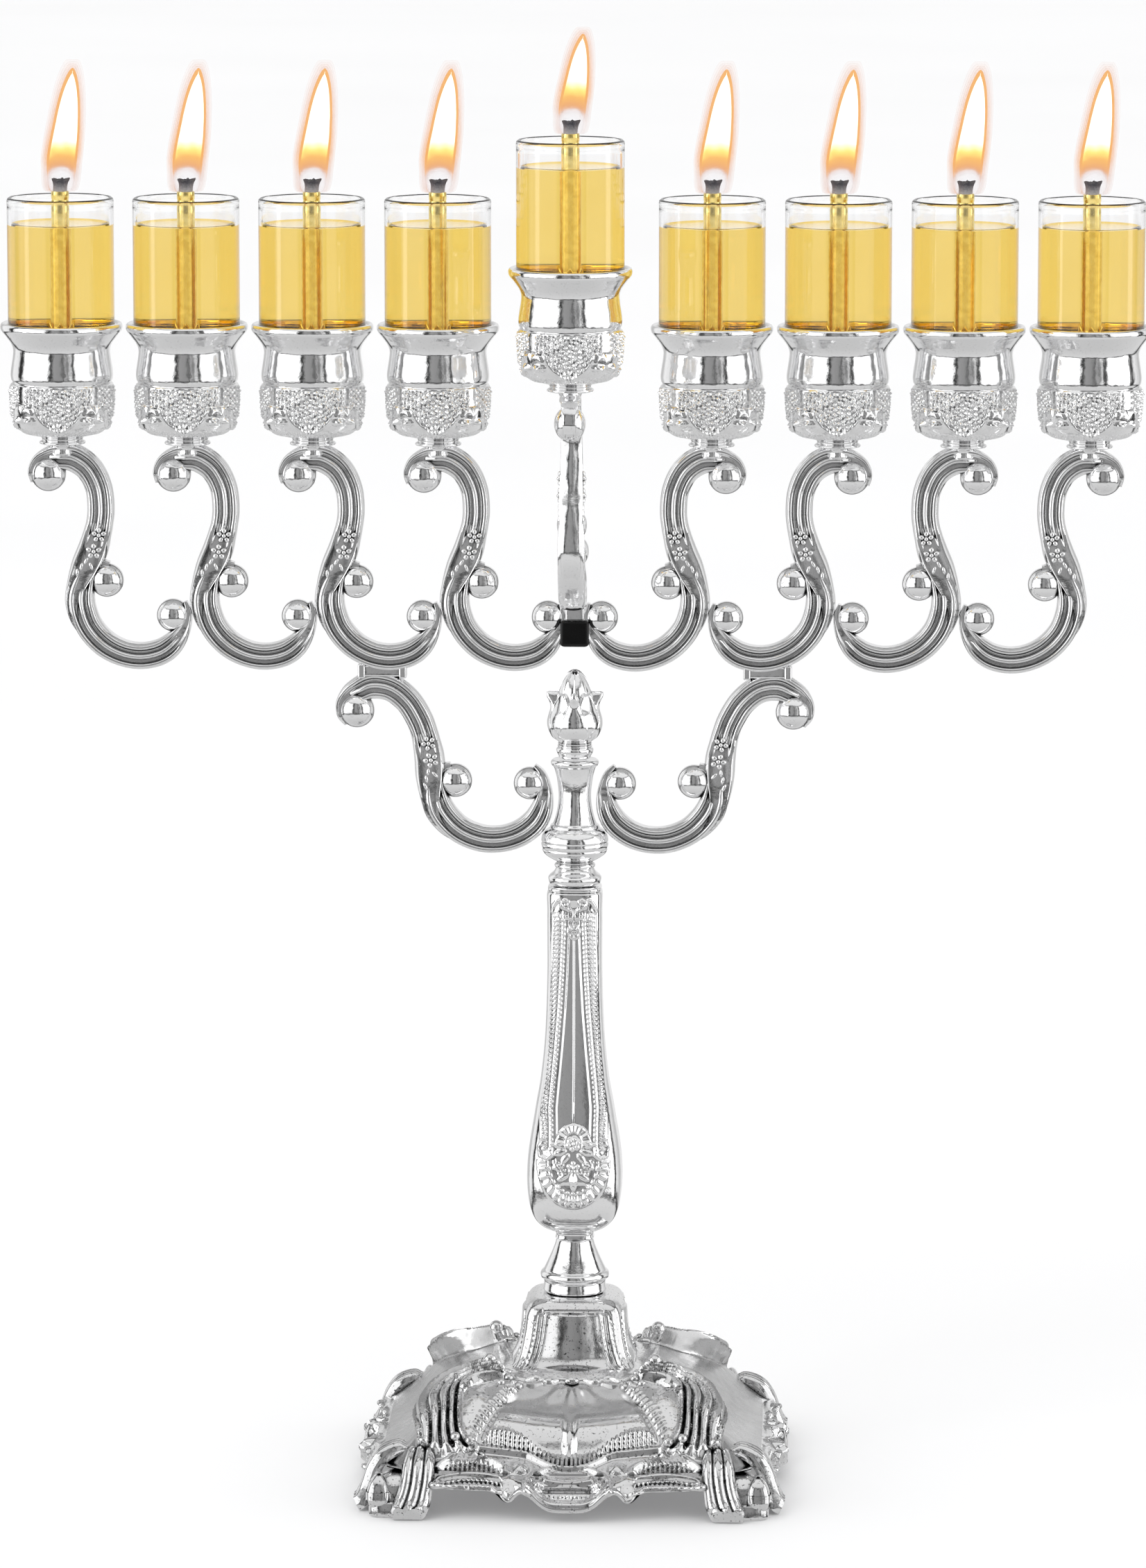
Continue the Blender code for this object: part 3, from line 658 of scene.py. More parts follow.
def square_ring(count, power):
    """Evenly spaced points of a rounded square of half-width 1."""
    angle = np.linspace(0, TAU, 20000)
    reach = (np.abs(np.cos(angle)) ** power + np.abs(np.sin(angle)) ** power) ** (-1 / power)
    x, y = reach * np.cos(angle), reach * np.sin(angle)
    length = np.concatenate([[0], np.cumsum(np.hypot(np.diff(x), np.diff(y)))])
    even = np.linspace(0, length[-1], count, endpoint=False)
    return np.interp(even, length, x), np.interp(even, length, y)


def baluster_relief(x, z):
    """Front panel: a mirror strip between bead and rib rows, over a shell and a half-round cartouche."""
    a = np.abs(x)
    strip = np.interp(z, *np.array(STRIP_HALF).T)
    upper = ramp(70.5, 71.3, z) * ramp(121.6, 121.0, z)
    relief = -0.42 * ramp(strip + 0.15, strip - 0.35, a) * ramp(72.5, 75.0, z) * ramp(124.0, 122.0, z)
    relief += 0.14 * bump(a, 0.3) * ramp(75, 79, z) * ramp(121, 118, z)
    bead_at = strip + 1.0
    beads = 0.5 + 0.5 * np.cos(TAU * (z - 0.35 * (a - bead_at)) / 0.98)
    relief += upper * bump(a - bead_at, 0.56) * (0.10 + 0.34 * beads)
    rib_at = strip + 2.4
    ribs = 0.5 + 0.5 * np.cos(TAU * (z + 0.30 * (a - rib_at)) / 0.98)
    relief += upper * ramp(0.85, 0.45, np.abs(a - rib_at)) * (0.02 + 0.34 * ribs)
    relief += upper * 0.16 * bump(a - strip - 3.35, 0.3)
    # shoulder arcs and volutes at the top
    relief += cord(a, z, ((0.5, 121.4), (1.2, 122.0), (2.4, 122.4), (2.5, 123.4), (1.7, 123.9), (1.0, 123.4),
                          (1.2, 122.7), (1.8, 122.9)), 0.38, 0.42)
    relief += cord(a, z, ((2.9, 123.9), (3.7, 123.6), (4.3, 122.6), (4.45, 121.2)), 0.3, 0.4)
    relief += cord(a, z, ((0.0, 120.6), (0.7, 119.9), (1.5, 120.4), (2.3, 119.6), (3.2, 120.3)), 0.3, 0.5)
    relief += 0.5 * leaf(x, z, (0, 121.6), (0, 118.6), 0.9)
    relief += 0.4 * floret(x, z, (0, 117.4), 1.15)
    heart = np.hypot(x / 1.3, (z - 117.2) / 1.55)
    relief += 0.25 * bump(heart - 0.92, 0.22)
    # hooks that close the bands
    relief += cord(a, z, ((6.3, 73.5), (7.1, 71.6), (6.9, 69.9), (5.6, 69.4), (4.6, 70.3), (4.9, 71.4)),
                   0.42, 0.55)
    # shell with a flower
    r, angle = np.hypot(x, z - 73.0), np.arctan2(x, z - 73.0)
    shell = ramp(3.7, 3.4, r) * ramp(1.7, 2.0, r) * ramp(72.2, 72.9, z)
    relief += shell * (0.25 + 0.35 * (0.5 + 0.5 * np.cos(angle * 11)))
    relief += 0.55 * floret(x, z, (0, 72.6), 1.7, 6)
    for start, end in (((1.6, 71.9), (4.4, 72.6)), ((1.4, 71.2), (4.2, 70.4)), ((0.9, 70.6), (2.6, 68.4))):
        relief += 0.42 * leaf(a, z, start, end, 0.85)
    # half-round cartouche
    e = np.hypot(x / 7.3, (z - 68.6) / 9.4)
    low = ramp(69.2, 68.6, z)
    turn = np.arctan2(x / 7.3, -(z - 68.6) / 9.4)
    relief += low * 0.28 * bump(e - 1.02, 0.05)
    relief += low * ramp(1.0, 0.97, e) * ramp(0.75, 0.79, e) * (0.02 + 0.36 * (0.5 + 0.5 * np.cos(turn * 31)))
    relief += low * bump(e - 0.70, 0.055) * (0.12 + 0.3 * (0.5 + 0.5 * np.cos(turn * 27)))
    relief += 0.5 * floret(x, z, (0, 67.6), 1.5)
    relief += 0.4 * floret(a, z, (2.5, 66.9), 1.15) + 0.35 * floret(a, z, (3.5, 68.6), 0.9)
    for start, end in (((0.9, 66.4), (3.4, 64.9)), ((1.9, 68.2), (4.4, 67.4))):
        relief += 0.36 * leaf(a, z, start, end, 0.7)
    relief += 0.45 * leaf(x, z, (0, 66.6), (0, 62.6), 1.05)
    crescent = np.hypot(x / 3.5, (z - 62.9) / 2.3)
    relief += low * (0.26 * bump(crescent - 1.0, 0.16) - 0.2 * ramp(1.0, 0.8, crescent)) * ramp(64.4, 63.9, z)
    return relief


def baluster_mesh(name, *materials):
    outline = corners_path(*BALUSTER_OUTLINE, step=0.24)
    unit_x, unit_y = square_ring(360, 3.5)
    half, z = outline[:, 0:1], outline[:, 1:2]
    rings = np.stack([half * unit_x, half * unit_y, z + 0 * unit_x], axis=-1)
    normals = grid_normals(rings)
    facing = ramp(0.55, 0.85, np.abs(normals[..., 1]) / np.hypot(normals[..., 0], normals[..., 1]).clip(1e-6))
    body = ramp(52.8, 54.0, rings[..., 2]) * ramp(124.5, 124.2, rings[..., 2])
    relief = baluster_relief(rings[..., 0], rings[..., 2]) * facing * body
    return skinned_mesh(name, rings + normals * relief[..., None], materials)


CONE_OUTLINE = (
    ((0.2, 50.6), (3.6, 50.6)),
    ((3.6, 50.6), (3.87, 50.3), (4.2, 49.2), (4.9, 47.4), (5.8, 45.4), (6.55, 43.8)),
    ((6.55, 43.8), (7.05, 43.4), (7.25, 42.8), (7.1, 42.2), (6.7, 41.9)),
    ((6.7, 41.9), (6.5, 41.5), (6.55, 40.4), (6.7, 39.6)), ((6.7, 39.6), (6.4, 39.2), (0.2, 39.15)))
COLUMN_OUTLINE = (
    ((0.2, 152.8), (4.6, 152.8)), ((4.6, 152.8), (5.0, 152.4), (4.95, 151.8), (4.4, 151.2)),
    ((4.4, 151.2), (3.9, 149.4), (3.55, 147.2), (3.4, 145.0), (3.6, 142.8), (4.1, 140.6), (4.6, 139.2)),
    ((4.6, 139.2), (5.1, 138.9), (5.2, 138.4)), ((5.2, 138.4), (6.2, 137.7), (6.9, 136.6), (7.05, 135.7)),
    ((7.05, 135.7), (6.9, 135.35), (7.05, 135.0)), ((7.05, 135.0), (6.95, 134.4), (6.75, 134.05)),
    ((6.75, 134.05), (6.85, 133.7), (6.3, 132.8), (5.2, 132.0), (4.3, 131.5)),
    ((4.3, 131.5), (3.85, 131.2), (3.8, 130.9)), ((3.8, 130.9), (4.25, 130.6), (4.25, 130.2), (3.9, 129.95)),
    ((3.9, 129.95), (4.3, 129.2), (5.2, 128.4)),
    ((5.2, 128.4), (5.55, 127.9), (5.5, 127.2), (5.2, 126.55), (0.2, 126.5)))
FINIAL_OUTLINE = (
    ((0.1, 171.6), (0.9, 171.3), (1.9, 170.2), (2.8, 168.6), (3.45, 166.9), (3.8, 165.0), (4.3, 163.6),
     (4.95, 162.3), (5.3, 161.0), (5.2, 159.6), (4.6, 158.2), (3.8, 157.0), (3.35, 156.4)),
    ((3.35, 156.4), (3.6, 156.2), (3.35, 155.95)), ((3.35, 155.95), (3.65, 155.75), (3.45, 155.45)),
    ((3.45, 155.45), (3.85, 155.1), (3.85, 154.5), (3.4, 153.6), (3.3, 153.15), (0.1, 153.1)))


def turned_mesh(name, outline, materials, around=160, step=0.22):
    return skinned_mesh(name, lathe(corners_path(*outline, step=step), around), materials)


def finial_mesh(name, *materials):
    """Bud with four pointed sepals that curl out at their tips."""
    rings = lathe(corners_path(*FINIAL_OUTLINE, step=0.2), 240)
    z = rings[..., 2]
    phi = np.arctan2(rings[..., 1], rings[..., 0])
    quarter = (phi + PANEL / 2) % PANEL - PANEL / 2
    front = (phi + PANEL) % PANEL - PANEL / 2
    bud = ramp(156.6, 158.0, z)
    edge = 4.9 * (1 - ((z - 158.0) / 10.6).clip(0, 1) ** 2.2) * 0.18
    petal = ramp(edge + 0.05, edge - 0.05, np.abs(front)) * ramp(167.2, 166.2, z)
    relief = bud * petal * (0.36 + 0.14 * bump(np.abs(front) - edge + 0.12, 0.1))
    sepal_half = 0.62 * ((167.0 - z) / 9.0).clip(0, 1) ** 0.6
    sepal = ramp(sepal_half + 0.05, sepal_half - 0.06, np.abs(quarter))
    curl = ramp(161.0, 166.4, z) * ramp(167.2, 166.6, z)
    relief = np.maximum(relief, bud * sepal * (0.5 + 1.9 * curl * curl * bump(quarter, 0.5)))
    relief += 0.16 * ramp(166.8, 167.4, z) * bump(front, 0.12)
    return skinned_mesh(name, rings + grid_normals(rings) * relief[..., None], materials)


def nut_mesh(name, *materials):
    """Hexagonal nut with chamfered corners."""
    phi = np.linspace(0, TAU, 96, endpoint=False)
    hexagon = 3.5 / np.cos((phi + TAU / 12) % (TAU / 6) - TAU / 12)
    rings = []
    for limit, z in ((2.35, 33.9), (3.4, 33.9), (4.05, 33.5), (4.05, 30.8), (3.4, 30.4), (2.35, 30.4)):
        r = np.minimum(hexagon, limit)
        rings.append(np.column_stack([r * np.cos(phi), r * np.sin(phi), np.full(96, z)]))
    return skinned_mesh(name, np.array(rings), materials, 30, loop=True)


def washer_mesh(name, *materials):
    profile = corners_path(((2.35, 35.3), (5.3, 35.3)), ((5.3, 35.3), (5.5, 35.1), (5.5, 34.4), (5.3, 34.2)),
                           ((5.3, 34.2), (2.35, 34.2)), step=0.3)
    return skinned_mesh(name, lathe(profile, 72), materials, 30, loop=True)


def rod_mesh(name, *materials):
    """Tie rod, threaded at both ends."""
    z = np.arange(28.5, 141.2, 0.125)
    thread = np.maximum(ramp(44, 42, z), ramp(130, 132, z))
    phi = np.linspace(0, TAU, 24, endpoint=False)[None, :]
    crest = 0.16 * thread[:, None] * np.abs(((z[:, None] / 0.8 - phi / TAU) % 1) * 2 - 1)
    radius = 2.0 - crest
    rings = np.stack([radius * np.cos(phi), radius * np.sin(phi), z[:, None] + 0 * phi], axis=-1)
    return skinned_mesh(name, rings, materials, sharp=80)


def rounded_block(shape, size, centre, rounding, rows=14, around=64, power=6.0):
    """Soft-edged block. The rounding is a share of the half-size: above 1 the ends turn inside out."""
    unit_x, unit_y = square_ring(around, power)
    rings = []
    for a in np.linspace(0, math.pi / 2, rows // 2):
        rings.append((1 - rounding * (1 - math.sin(a)), 1 - rounding * (1 - math.cos(a)) * 0.9))
    rings = [(0.02, 1.0)] + rings + [(r, -z) for r, z in rings[::-1]] + [(0.02, -1.0)]
    half = np.array(size) / 2
    shape.tube(np.array([np.column_stack([
        (1 - (1 - r) * min(half) / half[0]) * half[0] * unit_x + centre[0],
        (1 - (1 - r) * min(half) / half[1]) * half[1] * unit_y + centre[1],
        np.full(around, z * half[2] + centre[2])]) for r, z in rings]))


# ---------------------------------------------------------------- base

# Each row of the dome and apron: half-width on the faces, radius on the diagonals, and the two heights.
TOWER_ROWS = (
    ((0.3, 0.4, 39.0, 39.0), (6.9, 8.6, 39.0, 39.0)),
    ((6.9, 8.6, 39.0, 39.0), (8.6, 10.6, 38.7, 38.7), (9.7, 12.2, 37.7, 37.7), (10.3, 13.2, 36.0, 36.0),
     (10.5, 13.7, 33.6, 33.6), (10.8, 14.4, 30.6, 30.6), (11.5, 15.5, 27.4, 27.4), (12.7, 17.2, 25.0, 25.0)))
DOME_ROWS = (
    ((12.7, 17.2, 25.0, 25.0), (15.0, 20.0, 24.2, 24.8), (17.5, 24.0, 23.4, 24.2), (21.0, 29.5, 21.4, 23.0),
     (25.0, 34.5, 19.1, 21.4), (28.5, 39.5, 16.9, 18.8), (31.5, 43.5, 14.4, 15.8), (34.5, 46.8, 11.6, 13.2),
     (37.5, 49.0, 9.9, 11.2), (39.5, 50.2, 8.9, 9.9)),)
APRON_ROWS = (
    ((39.5, 50.2, 8.9, 9.9), (41.6, 51.2, 7.6, 9.2), (43.0, 51.9, 5.8, 8.6), (43.8, 52.2, 3.9, 8.0),
     (44.0, 52.2, 2.7, 7.6)),)
INNER_ROWS = (
    ((42.8, 51.0, 2.7, 7.6), (41.0, 49.6, 4.6, 8.0), (38.6, 48.4, 6.4, 8.6), (34.4, 45.6, 8.6, 10.6),
     (28.8, 39.4, 13.0, 15.0), (22.4, 31.0, 17.6, 19.6), (15.4, 21.4, 21.0, 21.6), (11.0, 14.6, 23.6, 23.6),
     (9.6, 12.6, 31.0, 31.0), (9.0, 11.8, 35.6, 35.6)), ((9.0, 11.8, 35.6, 35.6), (0.3, 0.3, 35.6, 35.6)))
# Lines of the C-shaped bands on the dome: along the face, and outwards from the axis.
BAND_OUTER = ((16.6, 14.8), (20.5, 16.2), (24.2, 18.8), (27.2, 22.0), (29.2, 25.8), (30.2, 29.6),
              (30.6, 33.4))
BAND_LIFT = (1.8, 2.4, 3.0, 3.2, 2.8, 2.0, 1.1)    # how high the outer ridge stands, evenly along it
BAND_INNER = ((14.6, 17.9), (17.6, 17.9), (20.4, 18.8), (22.6, 21.4), (23.7, 25.0), (23.9, 28.6),
              (23.3, 32.0), (21.3, 34.4))
RIB_MIDDLE = ((12.6, 21.0), (15.3, 24.4), (17.6, 27.8), (20.0, 31.6))
FAN_EDGE = ((21.0, 33.8), (17.0, 34.2), (12.0, 34.4), (8.5, 34.8), (5.8, 36.2), (2.8, 37.6), (0.0, 37.9),
            (-2.8, 37.6))
# Smooth knobs: along the face, outwards, how high above the dome, and three half-sizes.
KNOBS = (
    (17.3, 14.8, 0.9, 1.5, 1.4, 1.6), (14.4, 14.4, 0.6, 1.8, 1.0, 1.0), (13.2, 18.6, 0.6, 1.0, 1.0, 1.0),
    (11.2, 19.9, 0.6, 1.1, 1.0, 1.0), (14.7, 20.4, 0.5, 0.9, 0.9, 0.9), (12.6, 21.8, 0.5, 0.8, 0.8, 0.8),
    (4.9, 17.8, 0.4, 1.3, 0.9, 0.9), (0.0, 18.0, 0.4, 1.5, 0.9, 0.9), (20.6, 34.6, 0.6, 1.2, 1.2, 1.2),
    (18.2, 35.3, 0.4, 0.8, 0.8, 0.8), (23.6, 35.6, 0.5, 1.0, 1.0, 1.0))


def hem(a):
    """Height of the apron's scalloped lower edge."""
    a = np.abs(a)
    return (6.6 - 4.6 * np.exp(-(a / 7.6) ** 4) - 2.7 * np.exp(-((a - 12.7) / 2.2) ** 2)
            + 3.2 * ramp(28.5, 33.0, a))


def between(a, b, first, second):
    """Where a point lies between two curves: 0 to 1 across, and the mask of the band."""
    gap_a, _ = near_path(a, b, first)
    gap_b, along = near_path(a, b, second)
    starts = math.dist(first[0], second[0]), math.dist(first[-1], second[-1])
    middle = math.dist(first[len(first) // 2], second[len(second) // 2])
    total = sum(math.dist(p, q) for p, q in zip(second[:-1], second[1:]))
    width = np.interp(along, (0, total / 2, total), (starts[0], middle, starts[1]))
    return gap_a / (gap_a + gap_b + 1e-6), ramp(2.2, 0.3, gap_a + gap_b - width)


def dome_relief(a, d):
    """Relief of a quarter of the dome: a runs along the front and d outwards from the tower."""
    outer = smooth_path(BAND_OUTER, 1.2)
    inner = smooth_path(BAND_INNER, 1.2)
    middle = smooth_path(RIB_MIDDLE, 1.2)
    _, outer_along = near_path(a, d, outer)
    lift = np.interp(outer_along, np.linspace(0, 1.2 * (len(outer) - 1), len(BAND_LIFT)), BAND_LIFT)
    across, band = between(a, d, outer, inner)
    ridges = np.abs(np.sin(math.pi * (4.0 * across + 0.02))) ** 0.7
    relief = band * (lift * (1 - across) ** 1.2 + 0.6 + 1.6 * ridges)
    across, crescent = between(a, d, inner, middle)
    relief += crescent * (1 - band) * 0.9 * np.sin(math.pi * np.clip(across, 0, 1))
    gap, along = near_path(a, d, middle)
    relief += bump(gap, 1.5) ** 0.7 * (0.25 + 0.5 * (0.5 + 0.5 * np.cos(TAU * along / 1.15)))
    # fan panel: hollow above and full below, creased along its middle, fluted along its lower edge
    right = np.interp(d, (18, 21, 24.4, 27.8, 31.6, 34), (10.4, 11.4, 13.9, 16.2, 18.6, 19.6))
    edge_at = np.interp(a, [p[0] for p in FAN_EDGE[-2::-1]], [p[1] for p in FAN_EDGE[-2::-1]])
    inside = ramp(right, right - 2.0, a) * ramp(18.2, 20.5, d) * ramp(0.2, 1.6, edge_at - d)
    relief += inside * (1.5 * bump(d - 30.2, 5.2) - 1.0 * bump(d - 23.0, 5.0))
    relief -= inside * 1.0 * bump(a, 2.0) * ramp(24, 29, d)
    pleats = 0.5 + 0.5 * np.cos(np.arctan2(a, d - 15.5) * 11)
    relief += inside * 0.6 * pleats * ramp(25.5, 20.0, d)
    flutes = np.abs(np.sin(math.pi * a / 0.95)) ** 0.8
    length = 3.6 + 0.5 * np.cos(a * 0.45)
    near_edge = edge_at - d
    reach = ramp(18.2, 17.0, a) * ramp(length, length - 1.2, near_edge) * ramp(0.1, 0.5, near_edge)
    relief += reach * 0.6 * flutes
    relief += cord(a, d, FAN_EDGE, 1.0, 0.85, 1.2)
    relief += cord(a, d, ((23.6, 33.0), (23.4, 35.4), (21.4, 36.6), (19.4, 35.9), (19.5, 34.2), (20.8, 33.6)),
                   0.9, 0.75, 0.6)
    relief += cord(a, d, ((0.0, 17.6), (2.4, 17.0), (4.9, 18.2), (7.6, 16.9), (10.4, 18.2), (12.6, 16.6)),
                   0.7, 0.75, 0.8)
    relief += cord(a, d, ((6.4, 18.6), (8.8, 19.6), (11.0, 19.0), (12.4, 20.0)), 0.6, 0.7, 0.8)
    # between the fan's edge and the apron: the upper half of the lenses and a rounded cartouche
    ledge = ramp(0.4, 1.2, d - edge_at) * ramp(29.5, 28.0, a)
    lens = np.hypot((a - 20.2) / 7.2, (d - 39.6) / 3.4)
    relief += ledge * (1.1 * bump(lens - 1.0, 0.22) - 0.7 * ramp(0.95, 0.7, lens))
    relief += ledge * ramp(0.9, 0.75, lens) * 0.7 * (0.5 + 0.5 * np.cos(TAU * a / 1.0))
    cartouche = np.hypot(a / 6.6, (d - 40.2) / 2.6)
    relief += ledge * (1.0 * bump(cartouche - 1.0, 0.25) + 0.5 * ramp(0.85, 0.5, cartouche))
    relief += ledge * 1.1 * bump(np.hypot(a - 10.0, d - 38.2), 2.0) ** 0.8
    return relief


def apron_relief(a, z):
    """Relief of one face's half of the apron, by the way along it and the height."""
    relief = 0.8 * bump(z - hem(a) - 0.6, 0.8)
    bowl = ramp(9.6, 8.4, a)
    relief += bowl * 1.1 * bump(z - hem(a) - 1.5, 1.5)
    slot = ramp(5.4, 4.9, a)
    relief += slot * (0.6 * bump(z - 7.6 - 0.02 * a**2, 0.5) - 1.0 * bump(z - 6.5, 0.8))
    relief += slot * bump(z - 5.2, 0.75) * (0.45 * (0.5 + 0.5 * np.cos(TAU * a / 0.8)) - 0.15)
    arch = 7.9 - 0.016 * (a - 20.2) ** 2
    inside = ramp(13.6, 14.6, a) * ramp(27.6, 26.4, a)
    relief += inside * (0.9 * bump(z - arch - 1.15, 0.6) + 0.7 * bump(z - arch + 1.1, 0.45))
    relief += inside * bump(z - arch, 0.95) * (0.8 * (0.5 + 0.5 * np.cos(TAU * a / 1.0)) - 0.7)
    for x, y, size, height in ((6.4, 7.4, 1.3, 1.3), (12.7, 5.4, 2.0, 1.1), (27.4, 7.2, 1.4, 0.9)):
        relief += height * bump(np.hypot(a - x, z - y), size) ** 0.8
    return relief + cord(a, z, ((4.9, 8.6), (6.6, 9.2), (8.5, 8.0), (8.6, 5.8), (7.6, 4.4)), 0.7, 0.65, 0.6)


def tower_relief(a, z):
    """Relief of one tower face: a mirror panel between hollow strips and beaded borders."""
    panel = np.interp(z, (25.0, 26.0, 28.0, 31.0, 36.0), (8.8, 7.8, 6.9, 6.2, 5.6))
    body = ramp(24.6, 25.4, z)
    relief = ramp(panel, panel - 0.35, a) * ramp(36.3, 35.9, z) * body * (0.7 - 1.2 * (a / panel) ** 2)
    relief -= 0.6 * bump(a - panel - 1.1, 1.0) * ramp(36.6, 35.8, z) * body
    relief += 0.22 * bump(a - panel - 0.05, 0.3) * ramp(36.6, 36.0, z) * body
    border = panel + 2.6
    beads = 0.5 + 0.5 * np.cos(TAU * z / 1.15)
    relief += bump(a - border, 0.65) * (0.15 + 0.4 * beads) * ramp(35.8, 35.2, z) * body
    return relief + ramp(6.6, 6.2, a) * 0.22 * (bump(z - 36.5, 0.28) + bump(z - 37.1, 0.28))


def squircle_rows(stretches, step, count):
    """Rings between a rounded square's faces and diagonals, each with its own height."""
    parts = []
    for stretch in stretches:
        rows = smooth_path(np.asarray(stretch, float)[:, [0, 2, 1, 3]], step)
        parts.append(rows if not parts else rows[1:])
    side, side_z, corner, corner_z = (column[:, None] for column in np.vstack(parts).T)
    power = 1 / np.log2(np.minimum(side * math.sqrt(2) / corner, 1.999))
    angle = np.linspace(0, TAU, count, endpoint=False)[None, :]
    reach = (np.abs(np.cos(angle)) ** power + np.abs(np.sin(angle)) ** power) ** (-1 / power)
    diagonal = np.sin(2 * angle) ** 2
    return np.stack([side * reach * np.cos(angle), side * reach * np.sin(angle),
                     side_z + (corner_z - side_z) * diagonal], axis=-1)


def fold(rings):
    """Way along the nearest face, and the distance out from the axis."""
    x, y = np.abs(rings[..., 0]), np.abs(rings[..., 1])
    return np.minimum(x, y), np.maximum(x, y)


def base_mesh(name, *materials):
    around = 960
    tower = squircle_rows(TOWER_ROWS, 0.28, around)
    dome = squircle_rows(DOME_ROWS, 0.26, around)
    apron = squircle_rows(APRON_ROWS, 0.24, around)
    inner = squircle_rows(INNER_ROWS, 1.6, around)
    a, d = fold(tower)
    tower += grid_normals(tower) * (tower_relief(a, tower[..., 2]) * ramp(0.2, 3.0, d - a))[..., None]
    a, d = fold(dome)
    relief = dome_relief(np.abs(dome[..., 0]), np.abs(dome[..., 1]))
    fade = ramp(13.0, 14.6, d)
    dome += grid_normals(dome) * (relief * fade)[..., None]
    a, d = fold(apron)
    low_z, high_z = apron[-1:, :, 2], apron[:1, :, 2]
    share = (high_z - apron[..., 2]) / (high_z - low_z)
    bottom = hem(a[-1:])
    apron[..., 2] = high_z - share * (high_z - bottom)
    scallop = 1 - 0.045 * ramp(8, 13, a) * ramp(27, 22, a) * share
    apron[..., :2] *= scallop[..., None]
    corner = ramp(31.0, 28.0, a)
    relief = apron_relief(a, apron[..., 2]) * corner * ramp(0.0, 0.12, share)
    apron += grid_normals(apron) * relief[..., None]
    inner_a, _ = fold(inner[:1])
    lift = (hem(inner_a) - inner[:1, :, 2]) * np.clip(1 - np.arange(len(inner)) / 4, 0, 1)[:, None]
    inner[..., 2] += lift
    rings = np.concatenate([tower, dome[1:], apron[1:], inner])
    satin_from, satin_to = len(tower), len(tower) + len(dome) - 1
    outside = plain_part(np.abs(rings[..., 0]), np.abs(rings[..., 1]))
    grid = np.zeros(rings.shape[:2], int)
    grid[satin_from:satin_to] = outside[satin_from:satin_to]
    shape = Shape()
    shape.tube(rings, row_slots=grid[:-1])
    add_knobs(shape, dome)
    for sx in (-1, 1):
        for sy in (-1, 1):
            add_foot(shape, sx, sy)
    return shape.mesh(name, *materials, sharp=60)


def plain_part(a, d):
    """1 where the dome is satin: beyond the bands, and on the upper half of the fan panel."""
    along = smooth_path(BAND_OUTER, 1.2)
    edge = np.interp(d, along[:, 1], along[:, 0])
    fan = (d > 18.5) & (d < 28.0) & (a < 9.5 + 0.62 * (d - 18.5))
    return (((a > edge + 1.0) & (a > 13.6)) | fan).astype(int)


# Leaf strap of a foot: how far out, how high, sideways, half width and half thickness.
FOOT_STRAP = (
    (33.4, 12.9, 30.8, 2.2, 0.3), (36.4, 12.4, 30.8, 3.0, 0.7), (38.8, 10.9, 31.0, 3.4, 1.0),
    (40.4, 8.4, 31.2, 3.5, 1.1), (41.3, 5.6, 31.7, 3.6, 1.2), (42.2, 3.3, 32.3, 3.9, 1.2),
    (43.2, 2.0, 32.8, 3.8, 1.1), (44.2, 1.5, 33.2, 3.2, 0.9))


def add_foot(shape, sx, sy):
    """Corner foot: a worn block behind two ribbed leaves, which run down from the dome to a low toe."""
    rows = smooth_path(FOOT_STRAP, 0.35)
    out, z, middle, wide, thick = rows.T
    direction = np.gradient(rows[:, :2], axis=0)
    direction /= np.linalg.norm(direction, axis=1, keepdims=True)
    normal_out, normal_z = -direction[:, 1], direction[:, 0]
    u = np.linspace(-1, 1, 49)
    ridge = 0.8 * np.abs(np.cos(math.pi * 1.5 * u)) ** 0.7 * ramp(1.0, 0.9, np.abs(u)) - 1.0 * np.abs(u) ** 6
    top = thick[:, None] + ridge[None, :] * ramp(0, 2.0, np.arange(len(out)) * 0.35)[:, None]
    across = wide[:, None] * u[None, :]
    height = np.concatenate([top, np.full((len(out), 2), -1.4)], axis=1)
    across = np.concatenate([across, wide[:, None] * np.array([[0.9, -0.9]])], axis=1)
    reach = out[:, None] + normal_out[:, None] * height
    level = np.maximum(z[:, None] + normal_z[:, None] * height, 0.3)
    side = middle[:, None] + across
    shape.tube(np.stack([sx * side, sy * reach, level], axis=-1))
    shape.tube(np.stack([sx * reach, sy * side, level], axis=-1))
    rounded_block(shape, (11.0, 11.0, 3.4), (sx * 36.0, sy * 36.0, 1.7), 0.45, power=5)
    rounded_block(shape, (10.0, 10.0, 9.4), (sx * 35.8, sy * 35.8, 5.0), 1.5, power=4)
    rounded_block(shape, (5.3, 5.3, 9.2), (sx * 39.3, sy * 39.3, 4.6), 1.3, power=3)


def add_knobs(shape, dome):
    """Smooth knobs and beads, sunk into the finished surface of the dome."""
    points = dome.reshape(-1, 3)
    for a, d, lift, along, outward, tall in KNOBS:
        for x, y in {(sx * a, sy * d) for sx in (-1, 1) for sy in (-1, 1)}:
            nearest = np.argmin(np.hypot(points[:, 0] - x, points[:, 1] - y))
            height = points[nearest, 2] - 0.4 * tall
            shape.ball((x, y, height + 0.4 * lift), (along, outward, tall), 20)


# ---------------------------------------------------------------- assembly

